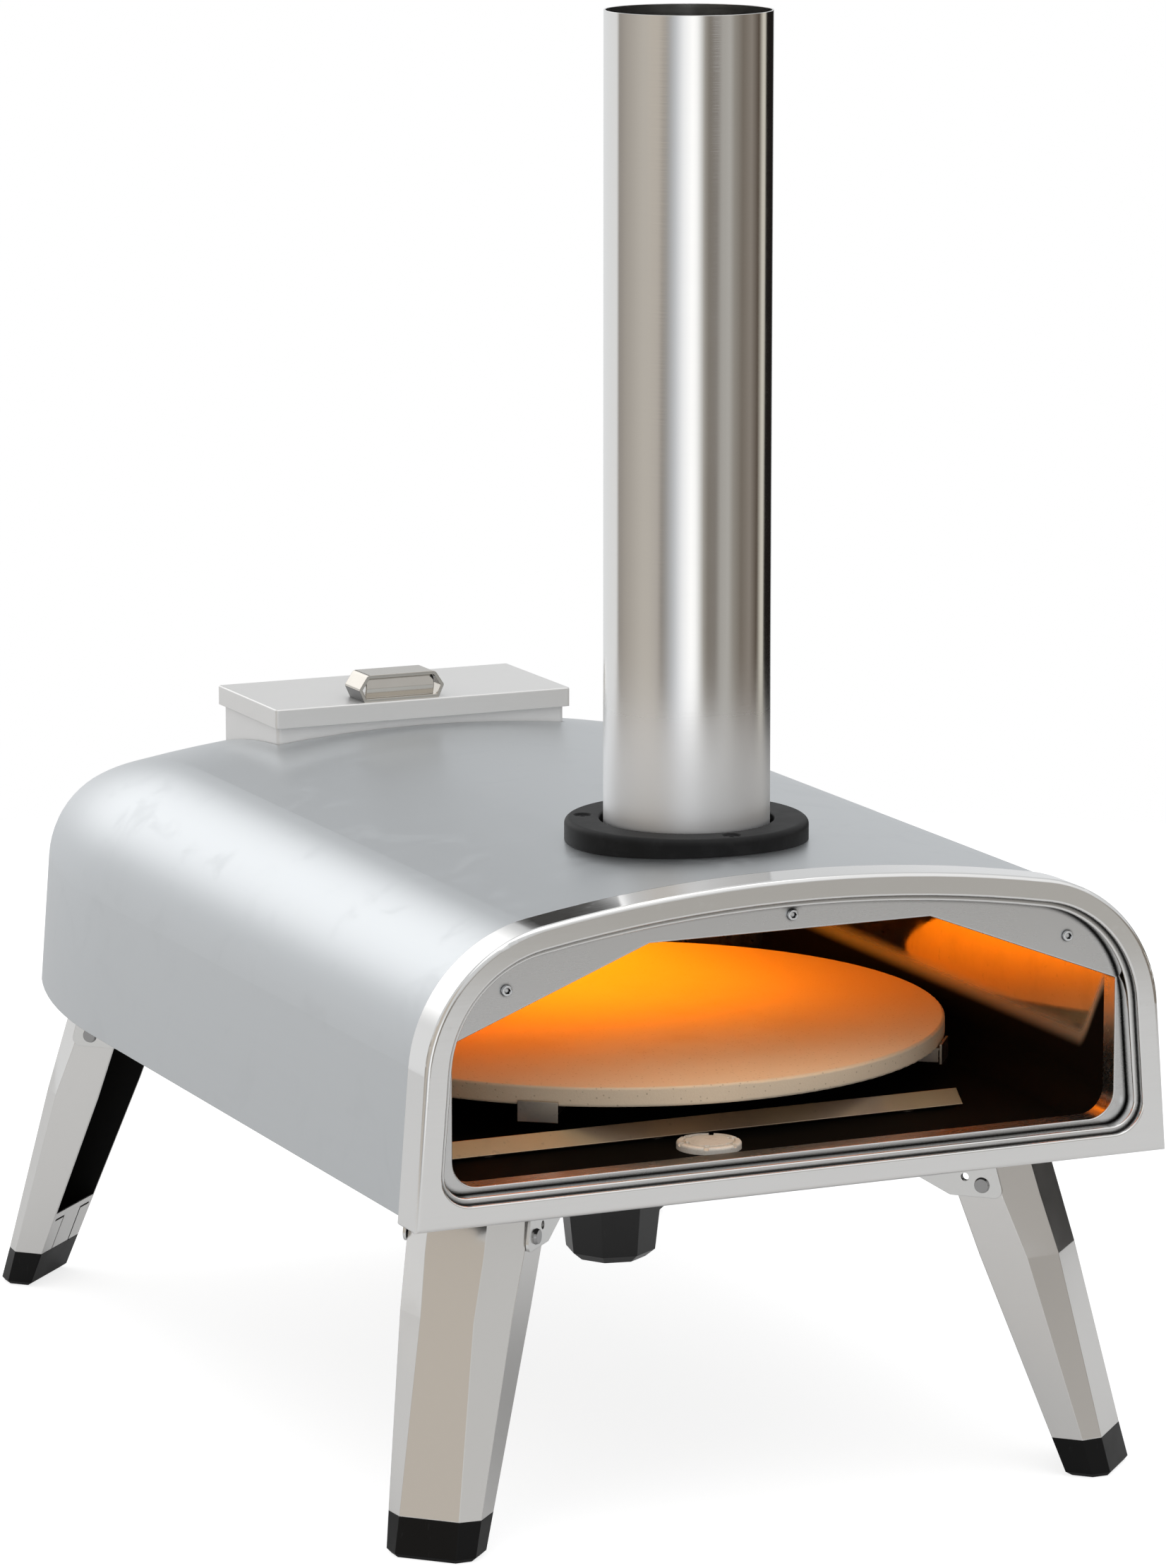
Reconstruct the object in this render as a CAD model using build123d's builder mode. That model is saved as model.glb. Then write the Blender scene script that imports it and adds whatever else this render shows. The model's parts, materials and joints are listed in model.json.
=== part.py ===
from build123d import *
import os
from math import asin, degrees, sqrt

os.makedirs("parts", exist_ok=True)

# A free-standing pizza oven, in millimetres. +X is right, the mouth faces -Y, +Z is up,
# and the origin lies on the ground under the middle of the oven.

# ---------------------------------------------------------------- driving dimensions
overall_depth = 612.0
front_y = -overall_depth / 2
sheet = 1.0
fit_gap = 0.3

# Arched section of the body, at the rim of the front face
body_half = 192.5
body_bottom = 164.2
shoulder_half = 183.0
crown_z = 308.2
crown_radius = 750.0
shoulder_radius = 69.0
side_lean = 0.078

# Shell: straight, then drawn in towards the back
skin_grow = 1.0
shell_start = 3.0
shell_bottom = 165.0
draw_start = 430.0
draw_radius = 434.0
shell_end = 566.0

# Front frame and recessed panel
rim_grow = 2.6
frame_sheet = 1.2
frame_depth = 21.0
rim_round = 2.4
step_half = 183.2
step_shoulder_half = 174.8
step_bottom = 172.0
step_crown_z = 299.9
step_crown_radius = 741.0
step_shoulder_radius = 58.0
step_corner_radius = 15.0
ledge_depth = 3.6
ledge_width = 3.0
panel_depth = 11.0
bead_radius = 1.0

# Oven mouth: flat top, slanted shoulders, upright sides
mouth_half = 172.0
mouth_bottom = 178.0
mouth_side_top = 246.0
mouth_top_half = 72.8
mouth_top = 284.4
mouth_corner_radius = 13.0
mouth_return = 11.0

# Liner and insulation
liner_sheet = 0.8
liner_grow = 2.2
liner_front = panel_depth + frame_sheet
chamber_back = 400.0
floor_z = mouth_bottom - liner_grow

# Chimney
chimney_back = 126.0
chimney_radius = 40.0
chimney_wall = 0.8
chimney_top = 703.0
flange_radius = 58.7
flange_bore_radius = 42.0
flange_top = 317.6
socket_flange_z = 302.0
flange_screw_circle = 50.0

# Hopper and lid
hopper_back = 488.2
hopper_width = 162.6
hopper_length = 76.0
hopper_wall = 1.2
lid_width = 166.8
lid_length = 83.1
lid_top = 323.2
lid_rim = 10.0
lid_sheet = 1.2
handle_centre = -12.0
handle_front = 448.8
handle_depth = 20.0
handle_foot_half = 21.0
handle_waist_half = 24.0
handle_top_half = 19.0
handle_waist = 6.5
handle_height = 14.0
handle_recess = 3.6
handle_crease = 1.6
strip = 1.6
rivet_back = 11.5
rivet_spacing = 24.0

# Fire box and fuel tray at the back
fire_box_half = 88.0
fire_box_top = 272.0
fire_box_end = 556.0
rear_face = 576.0
tray_half = 78.0
tray_bottom = 181.0
tray_height = 40.0
tray_front_end = 412.0

# Turntable
axis_back = 213.0
stone_radius = 165.0
stone_top = 204.4
stone_thickness = 9.5
spindle_radius = 5.0
knob_bottom = 80.0
knob_top = 140.0

# Folding legs: pivot in plan and height, measured out along each diagonal
pivot_x = 139.4
front_pivot_back = 62.9
rear_pivot_back = 541.6
pivot_z = 143.0
pivot_radius = 2.5
cheek_sheet = 1.5
leg_sheet = 1.2
foot_cap_top = 18.7


# ---------------------------------------------------------------- helpers
def save(piece, name):
    """Label a finished piece and write it."""
    piece.part.label = name
    export_step(piece.part, f"parts/{name}.step")


def behind(distance):
    """Upright plane across the oven, this far behind the front face; it looks to the front."""
    return Plane.XZ.offset(-(front_y + distance))


def across(x):
    """Upright plane along the oven: local x runs to the back, local y up."""
    return Plane(origin=(x, 0, 0), x_dir=(0, 1, 0), z_dir=(1, 0, 0))


def level(z):
    """Horizontal plane at this height."""
    return Plane.XY.offset(z)


def arch_face(half, top_half, bottom, crown, radius, shoulder, corner=0.0):
    """Arched outline: slanting sides, round shoulders and a low crown."""
    shoulder_z = crown - radius + sqrt(radius**2 - top_half**2)
    with BuildSketch() as outline:
        with BuildLine():
            Polyline((top_half, shoulder_z), (half, bottom), (-half, bottom), (-top_half, shoulder_z))
            ThreePointArc((-top_half, shoulder_z), (0, crown), (top_half, shoulder_z))
        make_face()
        fillet(outline.vertices().group_by(Axis.Y)[-1], shoulder)
        if corner:
            fillet(outline.vertices().group_by(Axis.Y)[0], corner)
    return outline.sketch


def body_face(grow, bottom=body_bottom):
    """The body's outline above its bottom, grown outwards."""
    return arch_face(
        body_half + grow + side_lean * (body_bottom - bottom),
        shoulder_half + grow,
        bottom,
        crown_z + grow,
        crown_radius + grow,
        shoulder_radius + grow,
    )


def step_face(grow):
    """The outline of the step inside the front frame, grown outwards."""
    return arch_face(
        step_half + grow,
        step_shoulder_half + grow,
        step_bottom - grow,
        step_crown_z + grow,
        step_crown_radius + grow,
        step_shoulder_radius + grow,
        step_corner_radius + grow,
    )


def mouth_face(grow):
    """The outline of the oven mouth and of the folded liner, grown outwards."""
    with BuildSketch() as outline:
        with BuildLine():
            Polyline(
                (mouth_half, mouth_bottom),
                (mouth_half, mouth_side_top),
                (mouth_top_half, mouth_top),
                (-mouth_top_half, mouth_top),
                (-mouth_half, mouth_side_top),
                (-mouth_half, mouth_bottom),
                close=True,
            )
        make_face()
        if grow:
            offset(amount=grow, kind=Kind.INTERSECTION)
        fillet(outline.vertices().group_by(Axis.Y)[0], mouth_corner_radius + grow)
    return outline.sketch


def draw_in(distance):
    """How far the shell has drawn in at this distance behind the front."""
    past = max(0.0, distance - draw_start)
    return draw_radius - sqrt(draw_radius**2 - past**2)


def box_between(low, high, mode=Mode.ADD):
    """A box from one corner to the other; the corners' middle number is behind the front."""
    size = [high[i] - low[i] for i in range(3)]
    centre = [(high[i] + low[i]) / 2 for i in range(3)]
    with Locations((centre[0], front_y + centre[1], centre[2])):
        Box(*size, mode=mode)


# ---------------------------------------------------------------- outer casing
def chimney_place(z):
    """Horizontal plane centred on the chimney."""
    return Plane((0, front_y + chimney_back, z))


def rivet_place(z):
    """Level plane centred between the lid handle's rivets."""
    return Plane((handle_centre, front_y + handle_front + rivet_back, z))


def hopper_place(z):
    """Horizontal plane centred on the hopper."""
    return Plane((0, front_y + hopper_back, z))


def turn_place(z):
    """Horizontal plane centred on the turntable's axis."""
    return Plane((0, front_y + axis_back, z))


def leg_plane(sign_x, sign_y, pivot_back):
    """Plane on the ground under a leg's pivot: local x runs outwards along the diagonal."""
    return Plane(
        origin=(sign_x * pivot_x, front_y + pivot_back, 0),
        x_dir=(sign_x, sign_y, 0),
        z_dir=(0, 0, 1),
    )


leg_bases = {
    "front_left": leg_plane(-1, -1, front_pivot_back),
    "front_right": leg_plane(1, -1, front_pivot_back),
    "rear_left": leg_plane(-1, 1, rear_pivot_back),
    "rear_right": leg_plane(1, 1, rear_pivot_back),
}

# The shell's section runs along its arched outline, from the right foot over the crown to the left
sweep_start = 155.0
shell_outline = (behind(shell_start) * body_face(skin_grow, sweep_start)).edges()
shell_path = Wire(shell_outline.sort_by(Axis.Z)[1:])
section_plane = Plane(origin=shell_path @ 0, x_dir=(-1, 0, 0), z_dir=shell_path % 0)
draw_angle = degrees(asin((shell_end - draw_start) / draw_radius))

with BuildPart() as outer_shell:
    with BuildSketch(section_plane):
        with BuildLine():
            straight = Line((sheet / 2, 0), (sheet / 2, shell_start - draw_start))
            JernArc(straight @ 1, straight % 1, draw_radius - sheet / 2, draw_angle)
        trace(line_width=sheet)
    sweep(path=shell_path)
    box_between((-250, -10, sweep_start - 20), (250, 700, shell_bottom), mode=Mode.SUBTRACT)
    with BuildSketch(chimney_place(250)):
        Circle(flange_bore_radius - 1)
        with PolarLocations(flange_screw_circle, 3, start_angle=-90):
            Circle(2.3)
    extrude(amount=100, mode=Mode.SUBTRACT)
    with BuildSketch(hopper_place(250)):
        Rectangle(hopper_width + 1, hopper_length + 1)
    extrude(amount=100, mode=Mode.SUBTRACT)
save(outer_shell, "outer_shell")

# Bottom plate: a shallow pan inside the shell, with holes for the turntable's bush
bottom_sheet = 1.2
pan_flange = 10.0
pan_front = 22.0
pan_rear = 556.0
pan_half = body_half + skin_grow - sheet - fit_gap - (pan_flange + 1) * side_lean
bush_radius = 12.0
bracket_screw_places = ((-40.0, 15.0), (-40.0, -15.0))

with BuildPart() as bottom_plate:
    with BuildSketch(level(shell_bottom)):
        with BuildLine():
            Polyline(
                (-pan_half + draw_in(pan_rear), front_y + pan_rear),
                (pan_half - draw_in(pan_rear), front_y + pan_rear),
                (pan_half - draw_in(490.0), front_y + 490.0),
                (pan_half, front_y + draw_start),
                (pan_half, front_y + pan_front),
                (-pan_half, front_y + pan_front),
                (-pan_half, front_y + draw_start),
                (-pan_half + draw_in(490.0), front_y + 490.0),
                close=True,
            )
        make_face()
    extrude(amount=pan_flange)
    offset(amount=-bottom_sheet, openings=bottom_plate.faces().sort_by(Axis.Z)[-1], kind=Kind.INTERSECTION)
    with BuildSketch(turn_place(shell_bottom - 1)):
        Circle(bush_radius + fit_gap)
    extrude(amount=5, mode=Mode.SUBTRACT)
    for base in leg_bases.values():
        with BuildSketch(base.offset(shell_bottom - 1)):
            with Locations(bracket_screw_places):
                Circle(2.0 + fit_gap)
        extrude(amount=5, mode=Mode.SUBTRACT)
save(bottom_plate, "bottom_plate")

# Rear panel: a pressed pan whose rim slides into the back of the shell
rear_inset = draw_in(shell_end) + 2.6
rear_rim = 18.0
rear_sheet = 1.2
rear_round = 9.0
tray_slot_gap = 1.5
rear_bottom = shell_bottom + 1.5


def rear_block(grow, start, end, rounding):
    """The rear panel's pressed shape."""
    with BuildPart() as block:
        with BuildSketch(behind(start)):
            add(body_face(skin_grow - rear_inset + grow, rear_bottom - grow))
        extrude(amount=-(end - start))
        fillet(block.faces().sort_by(Axis.Y)[-1].outer_wire().edges(), rounding)
    return block.part


rear_start = rear_face - rear_rim
rear_outside = rear_block(0, rear_start, rear_face, rear_round)
rear_inside = rear_block(-rear_sheet, rear_start - 5, rear_face - rear_sheet, rear_round - rear_sheet)

with BuildPart() as rear_panel:
    add(rear_outside)
    add(rear_inside, mode=Mode.SUBTRACT)
    slot_low = (-tray_half - tray_slot_gap, rear_face - 10, tray_bottom - 0.7)
    slot_high = (tray_half + tray_slot_gap, rear_face + 1, tray_bottom + tray_height + tray_slot_gap)
    box_between(slot_low, slot_high, mode=Mode.SUBTRACT)
    with BuildSketch(behind(rear_face - 10)):
        with GridLocations(13, 0, 9, 1):
            with Locations((0, 252)):
                SlotCenterToCenter(14, 5, rotation=90)
    extrude(amount=-20, mode=Mode.SUBTRACT)
save(rear_panel, "rear_panel")

# ---------------------------------------------------------------- front frame
corner_slit = 0.9

with BuildPart() as front_frame:
    with BuildSketch(behind(0)):
        add(body_face(rim_grow, body_bottom - rim_grow))
    extrude(amount=-frame_depth)
    fillet(front_frame.faces().sort_by(Axis.Y)[0].edges(), rim_round)
    with BuildSketch(behind(frame_sheet)):
        add(body_face(rim_grow - frame_sheet, body_bottom - rim_grow + frame_sheet))
    extrude(amount=-frame_depth, mode=Mode.SUBTRACT)
    with BuildSketch(behind(0)):
        add(step_face(frame_sheet))
    extrude(amount=-(ledge_depth + frame_sheet))
    with BuildSketch(behind(ledge_depth)):
        add(step_face(frame_sheet - ledge_width))
    extrude(amount=-(panel_depth - ledge_depth))
    with BuildSketch(behind(-1)):
        add(step_face(0))
    extrude(amount=-(ledge_depth + 1), mode=Mode.SUBTRACT)
    with BuildSketch(behind(-1)):
        add(step_face(-ledge_width))
    extrude(amount=-(panel_depth + 2), mode=Mode.SUBTRACT)
    fillet(front_frame.faces().sort_by(Axis.Y)[0].inner_wires()[0].edges(), bead_radius)
    ledge_face = front_frame.faces().filter_by(Axis.Y).filter_by_position(
        Axis.Y, front_y + ledge_depth - 0.01, front_y + ledge_depth + 0.01
    )[0]
    fillet(ledge_face.inner_wires()[0].edges(), bead_radius)
    slit_y = front_y + frame_depth / 2 + rim_round
    for side in (-1, 1):
        with Locations((side * (body_half + rim_grow), slit_y, body_bottom - rim_grow)):
            Box(corner_slit, frame_depth, 9, rotation=(0, side * 45, 0), mode=Mode.SUBTRACT)
save(front_frame, "front_frame")

panel_screws = ((0.0, 291.8), (-145.3, 269.0), (145.3, 269.0))
panel_hole = 1.9

with BuildPart() as front_inner_panel:
    with BuildSketch(behind(panel_depth)):
        add(body_face(-1.0, body_bottom + 1))
        with Locations(panel_screws):
            Circle(panel_hole, mode=Mode.SUBTRACT)
    extrude(amount=-frame_sheet)
    with BuildSketch(behind(panel_depth)):
        add(mouth_face(frame_sheet))
    extrude(amount=-mouth_return)
    with BuildSketch(behind(panel_depth - 1)):
        add(mouth_face(0))
    extrude(amount=-(mouth_return + 2), mode=Mode.SUBTRACT)
    mouth_wires = front_inner_panel.faces().sort_by(Axis.Y)[0].inner_wires()
    fillet(mouth_wires.sort_by(lambda wire: wire.length)[-1].edges(), 0.8)
save(front_inner_panel, "front_inner_panel")

with BuildPart() as front_panel_screws:
    with BuildSketch(behind(panel_depth - 2.2)):
        with Locations(panel_screws):
            Circle(2.5)
    extrude(amount=-2.2)
    fillet(front_panel_screws.edges().group_by(Axis.Y)[0], 0.6)
    with BuildSketch(behind(panel_depth - 2.3)):
        with Locations(panel_screws):
            RegularPolygon(1.6, 6)
    extrude(amount=-1.5, mode=Mode.SUBTRACT)
    with BuildSketch(behind(panel_depth)):
        with Locations(panel_screws):
            Circle(panel_hole - 0.2)
    extrude(amount=-10)
save(front_panel_screws, "front_panel_screws")

# ---------------------------------------------------------------- liner, insulation, baffle
liner_hole_radius = 39.4
floor_hole_radius = 14.0

with BuildPart() as inner_liner:
    with BuildSketch(behind(liner_front)):
        add(body_face(-2.0, shell_bottom + 3))
        with Locations(panel_screws):
            Circle(panel_hole, mode=Mode.SUBTRACT)
    extrude(amount=-liner_sheet)
    with BuildSketch(behind(liner_front)):
        add(mouth_face(liner_grow + liner_sheet))
    extrude(amount=-(chamber_back - liner_front))
    with BuildSketch(behind(liner_front - 1)):
        add(mouth_face(liner_grow))
    extrude(amount=-(chamber_back - liner_front + 2), mode=Mode.SUBTRACT)
    with BuildSketch(chimney_place(270)):
        Circle(liner_hole_radius)
    extrude(amount=30, mode=Mode.SUBTRACT)
    with BuildSketch(turn_place(floor_z - 5)):
        Circle(floor_hole_radius)
    extrude(amount=10, mode=Mode.SUBTRACT)
save(inner_liner, "inner_liner")

blanket_start = 24.0
blanket_bottom = 182.0
blanket_gap = 1.2

with BuildPart() as insulation_blanket:
    with BuildSketch(behind(blanket_start)):
        add(body_face(skin_grow - sheet - 2.0, blanket_bottom))
    extrude(amount=-(chamber_back - blanket_start))
    with BuildSketch(behind(0)):
        add(mouth_face(liner_grow + liner_sheet + blanket_gap))
    extrude(amount=-(chamber_back + 20), mode=Mode.SUBTRACT)
    with BuildSketch(chimney_place(270)):
        Circle(flange_radius + 1)
    extrude(amount=60, mode=Mode.SUBTRACT)
save(insulation_blanket, "insulation_blanket")

window_half = 100.0
window_low = 226.0
window_high = 266.0
baffle_sheet = 1.2

with BuildPart() as rear_baffle:
    with BuildSketch(behind(chamber_back)):
        add(mouth_face(liner_grow + liner_sheet))
        with Locations((0, (window_low + window_high) / 2)):
            RectangleRounded(2 * window_half, window_high - window_low, 8, mode=Mode.SUBTRACT)
    extrude(amount=-baffle_sheet)
save(rear_baffle, "rear_baffle")

# ---------------------------------------------------------------- fire box and hopper
fire_box_start = chamber_back + baffle_sheet
fire_box_floor = floor_z - liner_sheet
throat_width = hopper_width - 2 * hopper_wall
throat_length = hopper_length - 2 * hopper_wall

with BuildPart() as fire_box:
    box_between((-fire_box_half, fire_box_start, fire_box_floor), (fire_box_half, fire_box_end, fire_box_top))
    inner_low = (-fire_box_half + bottom_sheet, fire_box_start - 1, fire_box_floor + bottom_sheet)
    inner_high = (fire_box_half - bottom_sheet, fire_box_end - bottom_sheet, fire_box_top - bottom_sheet)
    box_between(inner_low, inner_high, mode=Mode.SUBTRACT)
    with BuildSketch(hopper_place(fire_box_top - 5)):
        Rectangle(throat_width, throat_length)
    extrude(amount=10, mode=Mode.SUBTRACT)
    door_low = (-tray_half - tray_slot_gap, fire_box_end - 5, tray_bottom - 0.7)
    door_high = (tray_half + tray_slot_gap, fire_box_end + 5, tray_bottom + tray_height + tray_slot_gap)
    box_between(door_low, door_high, mode=Mode.SUBTRACT)
save(fire_box, "fire_box")

runner_width = 12.0

with BuildPart() as tray_runners:
    for side in (-1, 1):
        runner_x = side * (tray_half - runner_width)
        runner_low = (runner_x - runner_width / 2, tray_front_end, fire_box_floor + bottom_sheet)
        runner_high = (runner_x + runner_width / 2, fire_box_end - 2, tray_bottom - fit_gap)
        box_between(runner_low, runner_high)
save(tray_runners, "tray_runners")

hopper_flange = 5.0

with BuildPart() as hopper_box:
    with BuildSketch(hopper_place(fire_box_top)):
        RectangleRounded(hopper_width, hopper_length, 2.5)
    extrude(amount=lid_top - lid_sheet - fit_gap - fire_box_top)
    with BuildSketch(hopper_place(fire_box_top)):
        Rectangle(hopper_width + 2 * hopper_flange, hopper_length + 2 * hopper_flange)
    extrude(amount=hopper_wall)
    with BuildSketch(hopper_place(fire_box_top - 1)):
        RectangleRounded(throat_width, throat_length, 1.3)
    extrude(amount=80, mode=Mode.SUBTRACT)
save(hopper_box, "hopper_box")

# ---------------------------------------------------------------- hopper lid (lifts off)
with BuildPart() as hopper_lid:
    with BuildSketch(hopper_place(lid_top - lid_rim)):
        RectangleRounded(lid_width, lid_length, 1.6)
    extrude(amount=lid_rim)
    fillet(hopper_lid.faces().sort_by(Axis.Z)[-1].edges(), 0.9)
    with BuildSketch(hopper_place(lid_top - lid_rim - 1)):
        RectangleRounded(lid_width - 2 * lid_sheet, lid_length - 2 * lid_sheet, 0.5)
    extrude(amount=lid_rim + 1 - lid_sheet, mode=Mode.SUBTRACT)
    with BuildSketch(rivet_place(lid_top - 5)):
        with GridLocations(rivet_spacing, 0, 2, 1):
            Circle(1.7)
    extrude(amount=10, mode=Mode.SUBTRACT)
save(hopper_lid, "hopper_lid")

frame_inset = 2.0

with BuildPart() as lid_locating_frame:
    with BuildSketch(hopper_place(lid_top - lid_rim - 2)):
        Rectangle(throat_width - 2 * frame_inset, throat_length - 2 * frame_inset)
        offset(amount=-lid_sheet, mode=Mode.SUBTRACT)
    extrude(amount=lid_rim + 2 - lid_sheet)
save(lid_locating_frame, "lid_locating_frame")


def handle_outline(inset):
    """Six-sided end view of the lid handle, moved inwards by an amount."""
    with BuildSketch() as outline:
        with BuildLine():
            Polyline(
                (-handle_foot_half, 0),
                (-handle_waist_half, handle_waist),
                (-handle_top_half, handle_height),
                (handle_top_half, handle_height),
                (handle_waist_half, handle_waist),
                (handle_foot_half, 0),
                close=True,
            )
        face = make_face()
        fillet(face.vertices().group_by(Axis.Y)[-1], 2.6)
        fillet(outline.vertices().group_by(Axis.X)[0] + outline.vertices().group_by(Axis.X)[-1], 1.5)
        if inset > 0:
            offset(amount=-inset, kind=Kind.INTERSECTION, mode=Mode.REPLACE)
    return outline.sketch


def handle_place(back):
    """Upright plane across the lid handle, some way behind its front edge."""
    origin = (handle_centre, front_y + handle_front + back, lid_top)
    return Plane(origin=origin, x_dir=(1, 0, 0), z_dir=(0, -1, 0))


with BuildPart() as lid_handle:
    with BuildSketch(handle_place(0)):
        add(handle_outline(0))
    extrude(amount=-handle_depth)
    with BuildSketch(handle_place(0)):
        add(handle_outline(strip))
    extrude(amount=-handle_depth, mode=Mode.SUBTRACT)
    side_view = Plane(handle_place(0).origin, x_dir=(0, 1, 0), z_dir=(1, 0, 0))
    with BuildSketch(side_view):
        with BuildLine():
            Polyline(
                (handle_recess, strip / 2),
                (handle_crease, handle_waist),
                (handle_recess, handle_height - strip / 2),
                (handle_recess + strip, handle_height - strip / 2),
                (handle_crease + strip, handle_waist),
                (handle_recess + strip, strip / 2),
                close=True,
            )
        make_face()
    extrude(amount=handle_top_half, both=True)
save(lid_handle, "lid_handle")

with BuildPart() as lid_rivets:
    with BuildSketch(rivet_place(lid_top - lid_sheet - 1.0)):
        with GridLocations(rivet_spacing, 0, 2, 1):
            Circle(2.6)
    extrude(amount=1.0)
    with BuildSketch(rivet_place(lid_top - lid_sheet)):
        with GridLocations(rivet_spacing, 0, 2, 1):
            Circle(1.6)
    extrude(amount=lid_sheet)
save(lid_rivets, "lid_rivets")

# ---------------------------------------------------------------- chimney
with BuildPart() as chimney_flange:
    with BuildSketch(chimney_place(295)):
        Circle(flange_radius)
    extrude(amount=flange_top - 295)
    fillet(chimney_flange.faces().sort_by(Axis.Z)[-1].edges(), 3.0)
    with BuildSketch(chimney_place(290)):
        Circle(flange_bore_radius)
    extrude(amount=40, mode=Mode.SUBTRACT)
    top_rims = chimney_flange.edges().filter_by(GeomType.CIRCLE).group_by(Axis.Z)[-1]
    fillet(top_rims.sort_by(SortBy.RADIUS)[0], 1.0)
    with BuildSketch(behind(chimney_back - 70)):
        add(body_face(skin_grow))
    extrude(amount=-140, mode=Mode.SUBTRACT)
    with Locations(chimney_place(flange_top)):
        with PolarLocations(flange_screw_circle, 3, start_angle=-90):
            CounterSinkHole(radius=2.3, counter_sink_radius=4.6)
save(chimney_flange, "chimney_flange")

socket_radius = chimney_radius - chimney_wall - fit_gap
socket_top = 345.0
socket_flange_radius = 57.0

with BuildPart() as chimney_socket:
    with BuildSketch(chimney_place(mouth_top - 2)):
        Circle(socket_radius)
    extrude(amount=socket_top - mouth_top + 2)
    with BuildSketch(chimney_place(socket_flange_z)):
        Circle(socket_flange_radius)
        with PolarLocations(flange_screw_circle, 3, start_angle=-90):
            Circle(2.2, mode=Mode.SUBTRACT)
    extrude(amount=1.2)
    with BuildSketch(chimney_place(mouth_top - 5)):
        Circle(socket_radius - 1.2)
    extrude(amount=100, mode=Mode.SUBTRACT)
save(chimney_socket, "chimney_socket")

with BuildPart() as flange_screws:
    with BuildSketch(Plane((0, front_y + chimney_back, flange_top - 0.9), x_dir=(1, 0, 0), z_dir=(0, 0, 1))):
        with PolarLocations(flange_screw_circle, 3, start_angle=-90):
            Circle(3.5)
    extrude(amount=-1.8, taper=45)
    with BuildSketch(chimney_place(flange_top - 2.6)):
        with PolarLocations(flange_screw_circle, 3, start_angle=-90):
            Circle(1.6)
    extrude(amount=-15)
    with BuildSketch(chimney_place(flange_top)):
        with PolarLocations(flange_screw_circle, 3, start_angle=-90):
            RegularPolygon(1.5, 6)
    extrude(amount=-2, mode=Mode.SUBTRACT)
save(flange_screws, "flange_screws")

with BuildPart() as chimney_tube:
    with BuildSketch(chimney_place(socket_flange_z + 1.2 + fit_gap)):
        Circle(chimney_radius)
        Circle(chimney_radius - chimney_wall, mode=Mode.SUBTRACT)
    extrude(amount=chimney_top - socket_flange_z - 1.2 - fit_gap)
save(chimney_tube, "chimney_tube")

# ---------------------------------------------------------------- turntable
stone_bottom = stone_top - stone_thickness
arm_angles = [-126.5 + 90 * i for i in range(4)]
arm_width = 13.0
arm_depth = 6.0
arm_sheet = 1.2
tab_width = 19.5
tab_top = stone_bottom + 2.5
tab_radius = stone_radius + 1.0
hub_radius = 30.0
arm_top = stone_bottom - 0.1
arm_bottom = arm_top - arm_depth - 1.4

with BuildPart() as pizza_stone:
    with BuildSketch(turn_place(stone_bottom)):
        Circle(stone_radius)
    extrude(amount=stone_thickness)
    fillet(pizza_stone.edges().filter_by(GeomType.CIRCLE), 1.2)
save(pizza_stone, "pizza_stone")

with BuildPart() as stone_carrier:
    with BuildSketch(turn_place(arm_top - arm_sheet)):
        Circle(hub_radius)
        for angle in arm_angles:
            with PolarLocations(tab_radius / 2, 1, start_angle=angle):
                Rectangle(tab_radius, arm_width)
    extrude(amount=arm_sheet)
    with BuildSketch(turn_place(arm_top - arm_sheet - arm_depth)):
        for angle in arm_angles:
            for side in (-1, 1):
                with Locations(Location((0, 0, 0), (0, 0, angle))):
                    with Locations((tab_radius / 2 + hub_radius / 2, side * (arm_width - arm_sheet) / 2)):
                        Rectangle(tab_radius - hub_radius - 2, arm_sheet)
    extrude(amount=arm_depth)
    with BuildSketch(turn_place(arm_bottom)):
        for angle in arm_angles:
            with PolarLocations(tab_radius + arm_sheet / 2, 1, start_angle=angle):
                Rectangle(arm_sheet, tab_width)
    extrude(amount=tab_top - arm_bottom)
    with BuildSketch(turn_place(arm_top + 1)):
        Circle(3.3)
    extrude(amount=-10, mode=Mode.SUBTRACT)
save(stone_carrier, "stone_carrier")

collar_radius = 17.0
collar_bottom = floor_z + 3.2
collar_top = arm_top - arm_sheet
spindle_bottom = 98.0

with BuildPart() as turntable_spindle:
    with BuildSketch(turn_place(spindle_bottom)):
        Circle(spindle_radius)
    extrude(amount=collar_top - spindle_bottom)
    with BuildSketch(turn_place(collar_bottom)):
        Circle(collar_radius)
    extrude(amount=collar_top - collar_bottom)
    with BuildSketch(turn_place(collar_top)):
        Circle(1.6)
    extrude(amount=-14, mode=Mode.SUBTRACT)
    with BuildSketch(turn_place(spindle_bottom)):
        Circle(1.6)
    extrude(amount=12, mode=Mode.SUBTRACT)
    with Locations((0, front_y + axis_back + spindle_radius, (spindle_bottom + 125) / 2)):
        Box(20, 3, 125 - spindle_bottom, mode=Mode.SUBTRACT)
save(turntable_spindle, "turntable_spindle")

with BuildPart() as carrier_screw:
    with BuildSketch(turn_place(collar_top)):
        Circle(1.5)
    extrude(amount=-11)
    with BuildSketch(turn_place(collar_top)):
        Circle(3.1)
    extrude(amount=1.1)
save(carrier_screw, "carrier_screw")

bush_bore = spindle_radius + 0.08
bush_flange_radius = 20.0
bush_bottom = 160.0
bush_top = floor_z + 2.0

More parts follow.
